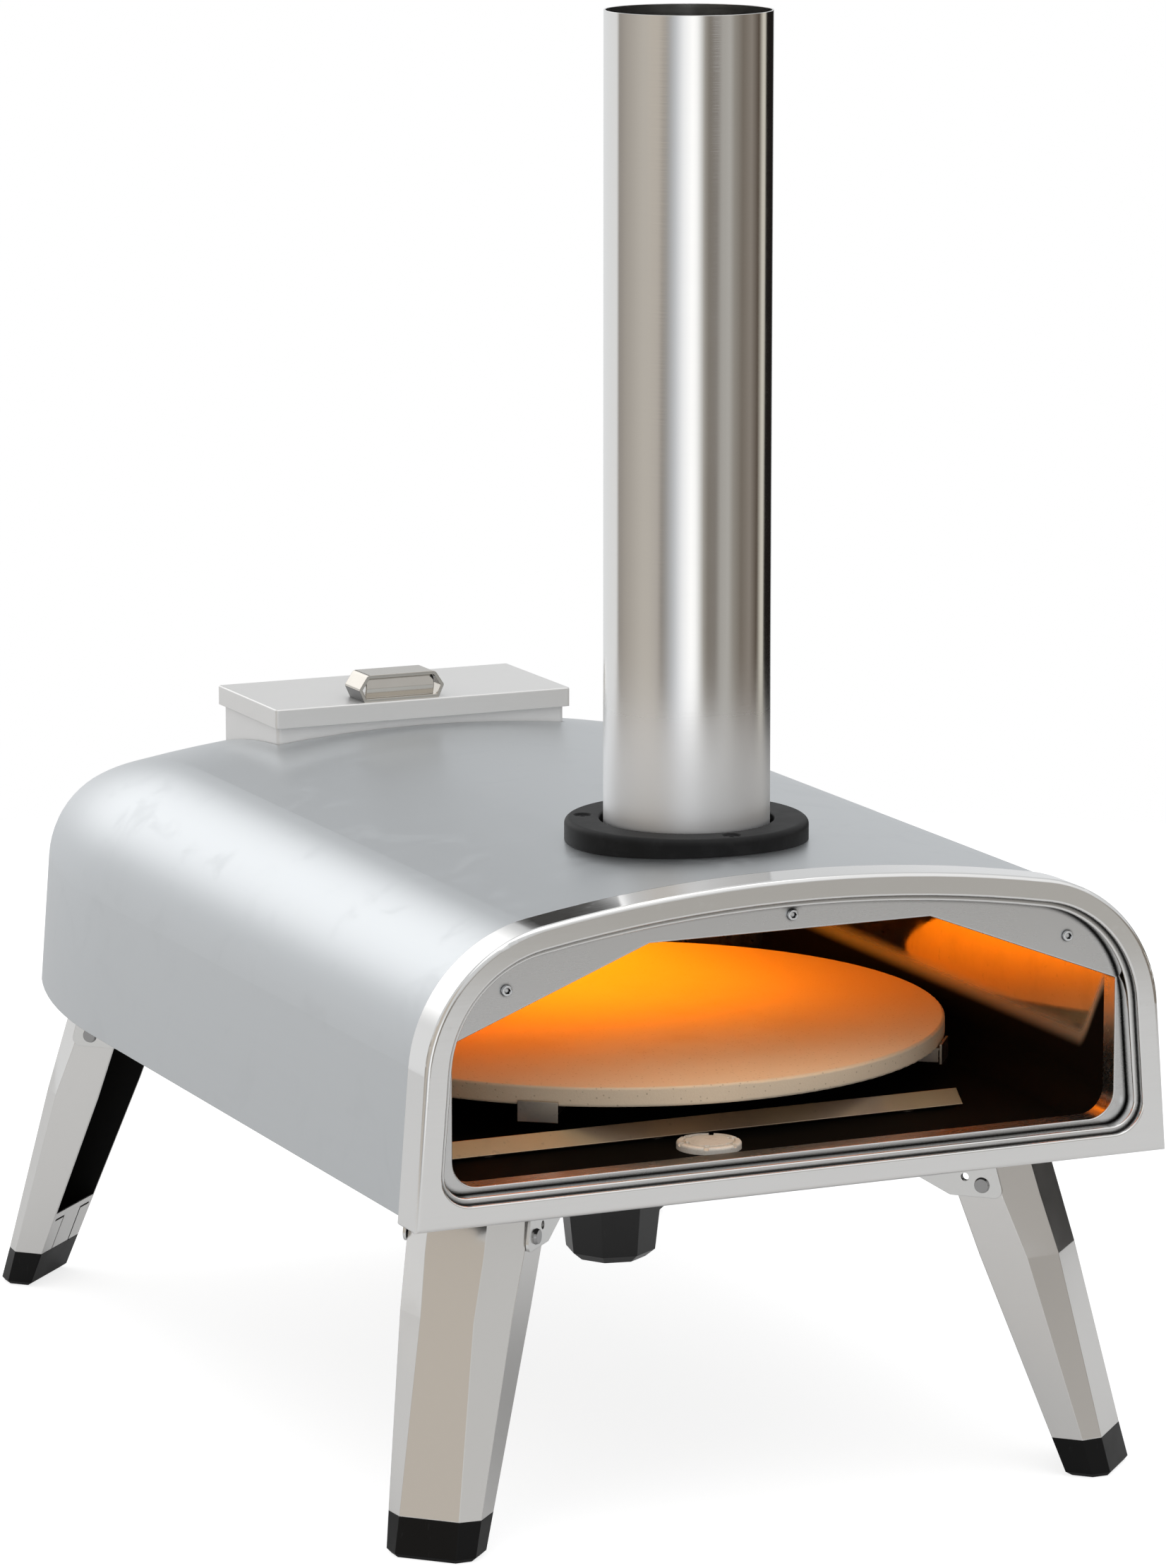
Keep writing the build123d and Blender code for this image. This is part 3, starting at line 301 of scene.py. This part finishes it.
def mirror_tube():
    """Mirror-polished tube: polishing lines, lengthwise streaks, a heat-dulled foot and a painted
    reflection that pales the foot.
    """
    flange_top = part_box("chimney_flange")[1].z
    made, graph, shader = start_material("mirror_tube", 1.0, 0.1)
    rings = graph.noise(700.0, 4.0, 0.7, graph.coords((0.02, 0.02, 1.0)))
    streak = graph.noise(140.0, 2.0, 0.5, graph.coords((1.0, 1.0, 0.015)))
    cloud = graph.noise(16.0, 4.0, 0.55)
    height = graph.place()[2]
    base = graph.mix(graph.spread(rings, 0.0, 0.10), (0.90, 0.895, 0.88), (0.74, 0.73, 0.71))
    base = graph.mix(graph.spread(streak, 0.0, 0.10), base, (0.70, 0.67, 0.63))
    # Painted reflection: the foot pales towards the flange, standing in for the shell top
    # reflected in it.
    painted_foot_reflection = graph.multiply(graph.fade(height, flange_top + 0.020, flange_top + 0.100), 0.8)
    base = graph.mix(painted_foot_reflection, base, (0.95, 0.955, 0.965))
    dulled = graph.fade(height, flange_top + 0.010, flange_top + 0.125)
    rough = graph.multiply_add(graph.step(cloud, 0.4, 0.7), 0.035, 0.065)
    rough = graph.multiply_add(graph.math("POWER", dulled, 2.0), 0.40, rough)
    rough = graph.multiply_add(rings, 0.05, rough)
    normal = graph.bump(rings, 0.5, 0.000035, graph.edge_normal(0.0003))
    give(graph, shader, base, rough, normal)
    return made


def chamber_shade(graph, floor_top):
    """Painted shade: 1 on the chamber's floor, at the foot of its walls and low down inside its
    mouth.
    """
    mouth_start, mouth_end, mouth_rise = -0.285, -0.255, 0.034
    x, y, z = graph.place()
    floor = graph.fade(z, floor_top - 0.003, floor_top + 0.002)
    floor_shade = graph.multiply(floor, graph.step(graph.facing()[2], 0.05, 0.35))
    inside = graph.step(y, mouth_start, mouth_end)
    level = graph.multiply_add(inside, mouth_rise, graph.subtract(z, mouth_rise))
    return graph.larger(floor_shade, graph.fade(level, floor_top + 0.006, floor_top + 0.020))


def heated_steel(name, shade, rough, soot=0.5, floor_top=None):
    """Steel round the fire: bright where clean, straw and blue heat colours, and soot.

    A floor_top makes it the chamber's liner, cleaner but with painted shade, black and not
    metallic, up to there.
    """
    made, graph, shader = start_material(name, 1.0, rough)
    lines = graph.noise(800.0, 2.0, 0.5, graph.coords((1.0, 0.03, 1.0)))
    heat = graph.noise(7.0, 4.0, 0.55, distortion=0.8)
    grime = graph.noise(22.0, 6.0, 0.68)
    spots = graph.noise(260.0, 2.0, 0.5)
    heat_colours = [
        (0.30, shade),
        (0.50, (0.60, 0.47, 0.30)),
        (0.62, (0.36, 0.27, 0.30)),
        (0.75, (0.25, 0.28, 0.36)),
    ]
    base = graph.mix(0.15 if floor_top else 0.45, shade, graph.ramp(heat, heat_colours))
    soot_and_shade = graph.multiply(graph.step(grime, 0.45, 0.75), soot)
    soot_and_shade = graph.larger(soot_and_shade, graph.multiply(graph.step(spots, 0.66, 0.74), soot))
    # On the liner, painted shade joins the real soot: black and not metallic on the floor and the
    # low walls.
    if floor_top:
        chamber_shade_mask = chamber_shade(graph, floor_top)
        soot_and_shade = graph.larger(soot_and_shade, chamber_shade_mask)
        graph.set(shader.inputs["Metallic"], graph.subtract(1.0, chamber_shade_mask))
        graph.set(shader.inputs["Specular IOR Level"], 0.02)
    base = graph.mix(soot_and_shade, base, (0.006, 0.005, 0.004))
    normal = graph.bump(lines, 0.3, 0.00002, graph.edge_normal(0.0004))
    give(graph, shader, base, graph.multiply_add(soot_and_shade, 0.6, rough), normal)
    return made


# How a leg runs: its reach at the ground, its lean for each metre up, and its pivots
leg_reach = 0.0512
leg_lean = 0.329
leg_pivots = {"front": -0.2431, "rear": 0.2356}
leg_pivot_across = 0.1394
leg_metallic = 0.92


def leg_steel(name, side, end, pivot):
    """Leg sheet: bright outside, and painted shade making the inside of the folded channel black.
    """
    made, graph, shader = start_material(name, leg_metallic, 0.14, 0.3)
    lines = graph.noise(700.0, 3.0, 0.6, graph.coords((1.0, 1.0, 0.03)))
    cloud = graph.noise(14.0, 4.0, 0.55)
    base = graph.mix(graph.spread(cloud, 0.0, 0.25), (0.84, 0.83, 0.815), (0.78, 0.77, 0.755))
    base = graph.mix(graph.spread(lines, 0.0, 0.10), base, (0.66, 0.645, 0.625))
    x, y, z = graph.place()
    facing_x, facing_y, facing_z = graph.facing()
    outwards = graph.multiply_add(z, -leg_lean / sqrt(2), leg_reach / sqrt(2))
    across = graph.subtract(x, graph.multiply_add(outwards, side, pivot[0]))
    along = graph.subtract(y, graph.multiply_add(outwards, end, pivot[1]))
    outside = graph.multiply_add(along, facing_y, graph.multiply(across, facing_x))
    # Painted shade: the inside of the folded channel is near black, not metallic and rough.
    channel_shade = graph.fade(outside, -0.001, 0.001)
    base = graph.mix(channel_shade, base, (0.006, 0.0055, 0.005))
    metallic = graph.multiply_add(channel_shade, -leg_metallic, leg_metallic)
    graph.set(shader.inputs["Metallic"], metallic)
    rough = graph.multiply_add(graph.step(cloud, 0.4, 0.7), 0.05, 0.12)
    rough = graph.multiply_add(channel_shade, 0.6, rough)
    normal = graph.bump(lines, 0.3, 0.00002, graph.edge_normal(0.0006))
    give(graph, shader, base, rough, normal)
    return made


def handle_steel():
    """Polished handle: lengthwise grain, warm clouds, and painted shade on the undersides at its
    ends.
    """
    made, graph, shader = start_material("handle_polish", 1.0, 0.14)
    lines = graph.noise(900.0, 3.0, 0.6, graph.coords((0.05, 1.0, 1.0)))
    cloud = graph.noise(60.0, 4.0, 0.55)
    facing_x, facing_y, facing_z = graph.facing()
    down = graph.step(graph.multiply(facing_z, -1.0), 0.10, 0.25)
    end = graph.step(graph.math("ABSOLUTE", facing_x), 0.5, 0.7)
    base = graph.mix(graph.spread(cloud, 0.0, 0.35), (0.64, 0.61, 0.56), (0.50, 0.465, 0.415))
    base = graph.mix(graph.spread(lines, 0.0, 0.12), base, (0.42, 0.40, 0.37))
    # Painted shade: near black where the handle's ends face down.
    base = graph.mix(graph.multiply(down, end), base, (0.008, 0.008, 0.008))
    normal = graph.bump(lines, 0.3, 0.00001, graph.edge_normal(0.0005))
    give(graph, shader, base, graph.multiply_add(cloud, 0.08, 0.10), normal)
    return made


def socket_steel():
    """Bright screw: fine turning marks, worn rim, and painted shade making the socket black."""
    made, graph, shader = start_material("screw_bright", 1.0, 0.2)
    marks = graph.noise(1500.0, 3.0, 0.6)
    socket = graph.fade(graph.openness(0.0012, only_local=True), 0.55, 0.85)
    base = graph.mix(graph.spread(marks, 0.0, 0.2), (0.82, 0.84, 0.86), (0.60, 0.61, 0.62))
    # Painted shade: near black and rougher inside the socket.
    base = graph.mix(socket, base, (0.004, 0.004, 0.004))
    rough = graph.multiply_add(socket, 0.5, graph.multiply_add(marks, 0.08, 0.16))
    normal = graph.bump(marks, 0.3, 0.00001, graph.edge_normal(0.00025))
    give(graph, shader, base, rough, normal)
    return made


# ---------------------------------------------------------------- other materials
def black_paint():
    """Matt black heat-proof paint with a fine orange-peel and rubbed edges."""
    made, graph, shader = start_material("black_paint", 0.0, 0.5, 0.2)
    peel = graph.noise(520.0, 3.0, 0.5)
    dust = graph.noise(60.0, 5.0, 0.65)
    dusty = graph.step(dust, 0.45, 0.75)
    base = graph.mix(dusty, (0.006, 0.006, 0.0065), (0.014, 0.014, 0.0145))
    normal = graph.bump(peel, 0.35, 0.0001, graph.edge_normal(0.0008))
    give(graph, shader, base, graph.spread(dust, 0.42, 0.62), normal)
    return made


def black_plastic(name, rough, shade, edge, shine=0.2):
    """Moulded black plastic: fine spark grain, slight flow clouds and soft mould edges."""
    made, graph, shader = start_material(name, 0.0, rough, shine)
    spark = graph.noise(1900.0, 2.0, 0.6)
    flow = graph.noise(34.0, 3.0, 0.5, distortion=0.6)
    scuff = graph.noise(240.0, 4.0, 0.7, graph.coords((1.0, 1.0, 0.2)))
    scuffed = graph.multiply(graph.step(scuff, 0.62, 0.72), 0.35)
    base = graph.mix(graph.spread(flow, 0.0, 0.6), shade, darker(shade, 1.7))
    base = graph.mix(scuffed, base, (0.022, 0.022, 0.023))
    normal = graph.bump(spark, 0.25, 0.00006, graph.edge_normal(edge))
    give(graph, shader, base, graph.multiply_add(flow, 0.16, rough - 0.08), normal)
    return made


def cordierite():
    """Pale sandy stone: grit, small pores, a toasted middle and an orange pool of painted fire
    light towards the fire.
    """
    made, graph, shader = start_material("cordierite", 0.0, 0.85)
    grit = graph.noise(900.0, 5.0, 0.7)
    cloud = graph.noise(13.0, 5.0, 0.6)
    pores = graph.step(graph.cells("F1", 330.0), 0.10, 0.20)
    base = graph.mix(graph.spread(cloud, 0.0, 0.7), (0.80, 0.70, 0.565), (0.70, 0.585, 0.44))
    base = graph.mix(graph.spread(grit, 0.0, 0.45), base, (0.58, 0.47, 0.34))
    pored = graph.multiply(graph.subtract(1.0, pores), 0.5)
    base = graph.mix(pored, base, (0.34, 0.26, 0.18))
    x, y, z = graph.place()
    axis_y = (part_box("pizza_stone")[0].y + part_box("pizza_stone")[1].y) / 2
    along = graph.subtract(y, axis_y)
    squares = graph.math("ADD", graph.math("POWER", x, 2.0), graph.math("POWER", along, 2.0))
    middle = graph.fade(graph.math("SQRT", squares), 0.05, 0.15)
    toasted = graph.multiply(middle, graph.step(cloud, 0.40, 0.62))
    base = graph.mix(graph.multiply(toasted, 0.28), base, (0.36, 0.22, 0.11))
    # Painted light: orange towards the rear, where the fire lights the stone.
    painted_fire_glow = graph.step(graph.multiply_add(cloud, 0.04, along), -0.135, 0.03)
    base = graph.mix(graph.multiply(painted_fire_glow, 0.8), base, (0.80, 0.47, 0.15))
    normal = graph.bump(pores, 0.35, 0.0003, graph.edge_normal(0.0012))
    normal = graph.bump(grit, 0.6, 0.0002, normal)
    give(graph, shader, base, graph.spread(grit, 0.78, 0.95), normal)
    return made


def blanket_fibre():
    """White mineral fibre: long soft strands pressed into a mat."""
    made, graph, shader = start_material("blanket_fibre", 0.0, 0.95)
    laid = graph.coords((1.0, 0.25, 1.0))
    strands = graph.noise(420.0, 6.0, 0.75, laid, distortion=2.0)
    lumps = graph.noise(30.0, 3.0, 0.5)
    base = graph.mix(strands, (0.62, 0.59, 0.53), (0.90, 0.88, 0.84))
    base = graph.mix(graph.spread(lumps, 0.0, 0.3), base, (0.72, 0.67, 0.58))
    normal = graph.bump(strands, 0.8, 0.001, graph.bump(lumps, 0.5, 0.003, None))
    give(graph, shader, base, None, normal)
    return made


def white_ceramic():
    """Cream-white glazed cap with faint crazing and a little soot."""
    made, graph, shader = start_material("white_ceramic", 0.0, 0.3)
    cracks = graph.fade(graph.cells("DISTANCE_TO_EDGE", 420.0), 0.0, 0.04)
    grime = graph.noise(90.0, 5.0, 0.65)
    sooty = graph.multiply(graph.step(grime, 0.55, 0.75), 0.4)
    base = graph.mix(graph.multiply(cracks, 0.25), (0.82, 0.79, 0.73), (0.40, 0.33, 0.25))
    base = graph.mix(sooty, base, (0.30, 0.22, 0.15))
    normal = graph.bump(grime, 0.15, 0.0002, graph.edge_normal(0.0005))
    give(graph, shader, base, graph.spread(grime, 0.2, 0.45), normal)
    return made


# ---------------------------------------------------------------- what each node wears
chamber_floor_top = 0.197
round_grain = (1.0, 1.0, 0.04)
wide_grain = (0.03, 1.0, 1.0)
deep_grain = (1.0, 0.03, 1.0)
handle_grain = (1.0, 1.0, 0.05)
looks = {
    "outer_shell": satin_shell(),
    # The bottom plate is near black: painted shade for the shadow under the casing.
    "bottom_plate": steel("bottom_shade_steel", (0.07, 0.07, 0.072), 0.5, deep_grain, smudge=0.1),
    "rear_panel": steel("rear_satin", (0.72, 0.73, 0.74), 0.34, wide_grain),
    # The frame and the inner panel take painted crevice shade.
    "front_frame": steel(
        "frame_polish", (0.91, 0.905, 0.895), 0.08, wide_grain,
        grain_depth=0.000003, smudge=0.03, edge=0.0005, crevice=0.006,
    ),
    "front_inner_panel": steel(
        "panel_polish", (0.74, 0.74, 0.74), 0.24, wide_grain,
        grain_depth=0.000002, smudge=0.03, edge=0.0004, crevice=0.004,
    ),
    "front_panel_screws": socket_steel(),
    "inner_liner": heated_steel(
        "liner_steel", (0.93, 0.84, 0.62), 0.04, 0.12, chamber_floor_top,
    ),
    "insulation_blanket": blanket_fibre(),
    # The baffle's near-black colour is painted shade at the back of the chamber as well as soot.
    "rear_baffle": heated_steel("baffle_steel", (0.13, 0.11, 0.10), 0.40, 0.85),
    "fire_box": heated_steel("fire_box_steel", (0.38, 0.34, 0.30), 0.35, 0.8),
    "tray_runners": heated_steel("runner_steel", (0.42, 0.38, 0.34), 0.4, 0.7),
    "hopper_box": steel("hopper_satin", (0.93, 0.93, 0.93), 0.30, wide_grain, metal=0.25),
    "hopper_lid": steel(
        "lid_satin", (0.88, 0.875, 0.865), 0.30, wide_grain, smudge=0.06, metal=0.5,
    ),
    "lid_locating_frame": steel("lid_frame_satin", (0.60, 0.60, 0.60), 0.32, wide_grain),
    "lid_handle": handle_steel(),
    "lid_rivets": steel("rivet_bright", (0.64, 0.64, 0.63), 0.25, round_grain, edge=0.0002),
    "chimney_flange": black_paint(),
    "chimney_socket": heated_steel("socket_steel", (0.55, 0.52, 0.48), 0.3, 0.6),
    # Near-black screws: painted shade, standing in for the dark screw holes at the flange.
    "flange_screws": steel("hole_shade_screw", (0.02, 0.02, 0.021), 0.45, round_grain, edge=0.0002),
    "chimney_tube": mirror_tube(),
    "pizza_stone": cordierite(),
    "stone_carrier": heated_steel("carrier_steel", (0.58, 0.54, 0.49), 0.28, 0.35),
    "turntable_spindle": steel("turned_steel", (0.56, 0.55, 0.54), 0.28, round_grain),
    "carrier_screw": steel(
        "carrier_screw_steel", (0.60, 0.59, 0.58), 0.3, round_grain, edge=0.0002,
    ),
    "spindle_bush": steel("bush_steel", (0.42, 0.42, 0.42), 0.36, round_grain),
    "thrust_washer": steel("washer_brass", (0.72, 0.55, 0.26), 0.3, round_grain, edge=0.0002),
    "spindle_clip": steel("blued_clip", (0.12, 0.12, 0.14), 0.35, round_grain, edge=0.0001),
    "turning_knob": black_plastic("knob_plastic", 0.15, (0.002, 0.002, 0.0022), 0.0008, 0.55),
    "knob_screw": steel("knob_screw_steel", (0.58, 0.58, 0.57), 0.28, round_grain, edge=0.0002),
    "front_cross_bar": heated_steel("cross_bar_steel", (0.86, 0.68, 0.50), 0.36, 0.12),
    "bar_standoffs": heated_steel("standoff_steel", (0.60, 0.55, 0.48), 0.28, 0.3),
    "floor_cap": white_ceramic(),
    "fuel_tray": heated_steel("tray_steel", (0.42, 0.38, 0.34), 0.38, 0.8),
    "fire_grate": heated_steel("grate_steel", (0.30, 0.26, 0.23), 0.45, 0.9),
    "tray_front": steel(
        "tray_front_satin", (0.64, 0.645, 0.65), 0.30, wide_grain, smudge=0.08,
    ),
    "tray_handle": steel(
        "tray_handle_polish", (0.80, 0.79, 0.77), 0.13, handle_grain,
        grain_depth=0.00001, smudge=0.04, edge=0.0004,
    ),
    "tray_handle_screws": steel(
        "tray_screw_bright", (0.62, 0.62, 0.61), 0.24, round_grain, edge=0.0002,
    ),
    "leg_pivot_pins": steel("pin_bright", (0.40, 0.40, 0.40), 0.2, round_grain, edge=0.0004),
    "bracket_screws": steel(
        "bracket_screw_bright", (0.52, 0.52, 0.51), 0.28, round_grain, edge=0.0002,
    ),
}
foot_look = black_plastic("foot_plastic", 0.36, (0.002, 0.002, 0.0021), 0.0010)
bracket_look = steel("bracket_satin", (0.84, 0.84, 0.83), 0.2, deep_grain, smudge=0.06)
for end_name, end in (("front", -1), ("rear", 1)):
    for side_name, side in (("left", -1), ("right", 1)):
        leg_name = f"leg_{end_name}_{side_name}"
        pivot = (side * leg_pivot_across, leg_pivots[end_name])
        looks[leg_name] = leg_steel(f"{leg_name}_steel", side, end, pivot)
for name in nodes:
    if name.startswith("foot_"):
        looks[name] = foot_look
    elif name.startswith("bracket_") and name != "bracket_screws":
        looks[name] = bracket_look
for name in nodes:
    for slot in nodes[name].material_slots:
        slot.material = looks[name]

# ---------------------------------------------------------------- floor
floor_radius = 1.5
floor_drop = 0.0002
floor_glow = 0.18
floor_glow_seen = 0.78
white = (1.0, 1.0, 1.0)

floor_mesh = bpy.data.meshes.new("floor")
shape = bmesh.new()
bmesh.ops.create_circle(shape, cap_ends=True, radius=floor_radius, segments=128)
shape.to_mesh(floor_mesh)
shape.free()
floor = bpy.data.objects.new("floor", floor_mesh)
floor.location.z = -floor_drop
bpy.context.scene.collection.objects.link(floor)
floor_look, graph, shader = start_material("floor_paper", 0.0, 0.9, 0.0)
paper = graph.spread(graph.noise(700.0, 4.0, 0.6), 0.0, 0.03)
paper_shade = graph.mix(paper, (0.52, 0.52, 0.52), (0.48, 0.48, 0.48))
graph.set(shader.inputs["Base Color"], paper_shade)
graph.set(shader.inputs["Emission Color"], colour(white))
viewed = graph.add("ShaderNodeLightPath").outputs["Is Camera Ray"]
glow = graph.spread(viewed, floor_glow, floor_glow_seen)
graph.set(shader.inputs["Emission Strength"], glow)
floor_mesh.materials.append(floor_look)


# ---------------------------------------------------------------- studio
def direction(azimuth, elevation):
    """Unit vector at this azimuth from +X and this elevation, in degrees."""
    flat = cos(radians(elevation))
    return (flat * cos(radians(azimuth)), flat * sin(radians(azimuth)), sin(radians(elevation)))


world = bpy.data.worlds.new("studio")
bpy.context.scene.world = world
world.use_nodes = True
sky = Graph(world.node_tree)
spot = sky.add("ShaderNodeTexCoord").outputs["Generated"]
toward = sky.vector_math("NORMALIZE", spot).outputs[0]
toward_x, toward_y, toward_z = sky.axes(toward)
turn = sky.multiply_add(sky.math("ARCTAN2", toward_y, toward_x), 1 / (2 * pi), 0.5)

# Strips of light and shade low round the studio, by azimuth from +X
strips = [
    (-180, (0.50, 0.465, 0.42)), (-169, (0.50, 0.465, 0.42)), (-157, (0.43, 0.40, 0.37)),
    (-151, (0.26, 0.24, 0.22)), (-145, (0.33, 0.32, 0.31)), (-133, (0.56, 0.575, 0.60)),
    (-122, (0.92, 0.93, 0.95)), (-110, (1.15, 1.15, 1.15)), (-104, (1.05, 1.05, 1.05)),
    (-99, (0.75, 0.75, 0.74)), (-93, (0.34, 0.32, 0.29)), (-87, (0.21, 0.19, 0.165)),
    (-76, (0.22, 0.20, 0.18)), (-69, (0.39, 0.375, 0.35)), (-57, (0.44, 0.425, 0.40)),
    (-50, (0.30, 0.28, 0.25)), (-36, (0.18, 0.155, 0.13)), (-20, (0.26, 0.23, 0.20)),
    (-4, (0.08, 0.06, 0.045)), (6, (0.60, 0.57, 0.50)), (12, (0.60, 0.57, 0.50)),
    (17, (0.012, 0.010, 0.009)), (48, (0.012, 0.010, 0.009)), (58, (0.76, 0.77, 0.78)),
    (100, (0.76, 0.77, 0.78)), (131, (0.76, 0.76, 0.76)), (136, (0.30, 0.275, 0.25)),
    (150, (0.38, 0.35, 0.315)), (180, (0.50, 0.465, 0.42)),
]
strips_top, ceiling_start = 4, 12
ceiling = (0.65, 0.658, 0.664)
low = sky.ramp(turn, [((angle + 180) / 360, shade) for angle, shade in strips])
lift = sky.step(toward_z, sin(radians(strips_top)), sin(radians(ceiling_start)))
sky_colour = sky.mix(lift, low, ceiling)

# Round panels: azimuth, elevation, full to this radius, gone by this one, colour
panels = [
    (101, 23.5, 7, 23, (1.58, 1.58, 1.58)),
    (-158, 19, 20, 30, (0.54, 0.49, 0.43)),
    (-40, 60, 20, 46, (0.9, 0.9, 0.9)),
    (72, 19, 3, 4.2, (0.02, 0.018, 0.016)),
    (-77, 10, 11, 15, (0.58, 0.577, 0.57)),
    (-55, 10, 8, 12, (0.43, 0.41, 0.385)),
]
for azimuth, elevation, inner, outer, shade in panels:
    aim = direction(azimuth, elevation)
    near = sky.vector_math("DOT_PRODUCT", toward, aim).outputs["Value"]
    panel = sky.step(near, cos(radians(outer)), cos(radians(inner)))
    sky_colour = sky.mix(panel, sky_colour, shade)
seen = sky.add("ShaderNodeLightPath").outputs["Is Camera Ray"]
sky_colour = sky.mix(seen, sky_colour, white)
background = sky.add("ShaderNodeBackground")
sky.set(background.inputs[0], sky_colour)
sky_output = sky.add("ShaderNodeOutputWorld")
sky.set(sky_output.inputs[0], background.outputs[0])


def area_light(name, place, target, size, power, shade):
    """A soft light, (width, depth) in size, that looks at a target."""
    data = bpy.data.lights.new(name, "AREA")
    data.shape = "RECTANGLE"
    data.size, data.size_y = size
    data.energy = power
    data.color = shade
    light = bpy.data.objects.new(name, data)
    light.location = place
    aim = Vector(target) - Vector(place)
    light.rotation_euler = aim.to_track_quat("-Z", "Y").to_euler()
    bpy.context.scene.collection.objects.link(light)
    return light


area_light("top_softbox", (-0.2, -0.4, 2.6), (0, 0, 0), (2.4, 2.4), 11.0, white)
left_softbox = area_light(
    "left_softbox", (-2.2, -1.6, 1.7), (0, 0, 0.2), (1.4, 1.4), 7.0, (1.0, 0.99, 0.97),
)
left_softbox.visible_glossy = False

# ---------------------------------------------------------------- fire
fire_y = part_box("rear_baffle")[0].y - 0.012
flame = (1.0, 0.37, 0.006)
ember = (1.0, 0.28, 0.02)
ember_red = (1.0, 0.10, 0.006)
warm_white = (1.0, 0.63, 0.34)
fires = [
    ("fire_window", (0.0, fire_y, 0.246), (0.0, fire_y - 1.0, 0.150), (0.17, 0.036), 0.12, flame),
    ("fire_crown", (0.02, 0.0, 0.279), (0.02, 0.0, 0.0), (0.16, 0.20), 0.33, flame),
    ("fire_bed", (0.0, 0.17, 0.215), (0.0, 0.10, 0.25), (0.12, 0.08), 0.28, ember),
    ("mouth_glow", (0.0, -0.276, 0.280), (0.0, -0.22, 0.19), (0.24, 0.03), 0.07, warm_white),
    ("fire_left", (-0.13, 0.0, 0.250), (0.05, -0.05, 0.200), (0.05, 0.05), 0.19, ember_red),
]
for settings in fires:
    fire = area_light(*settings)
    fire.visible_glossy = False
    fire.visible_camera = False
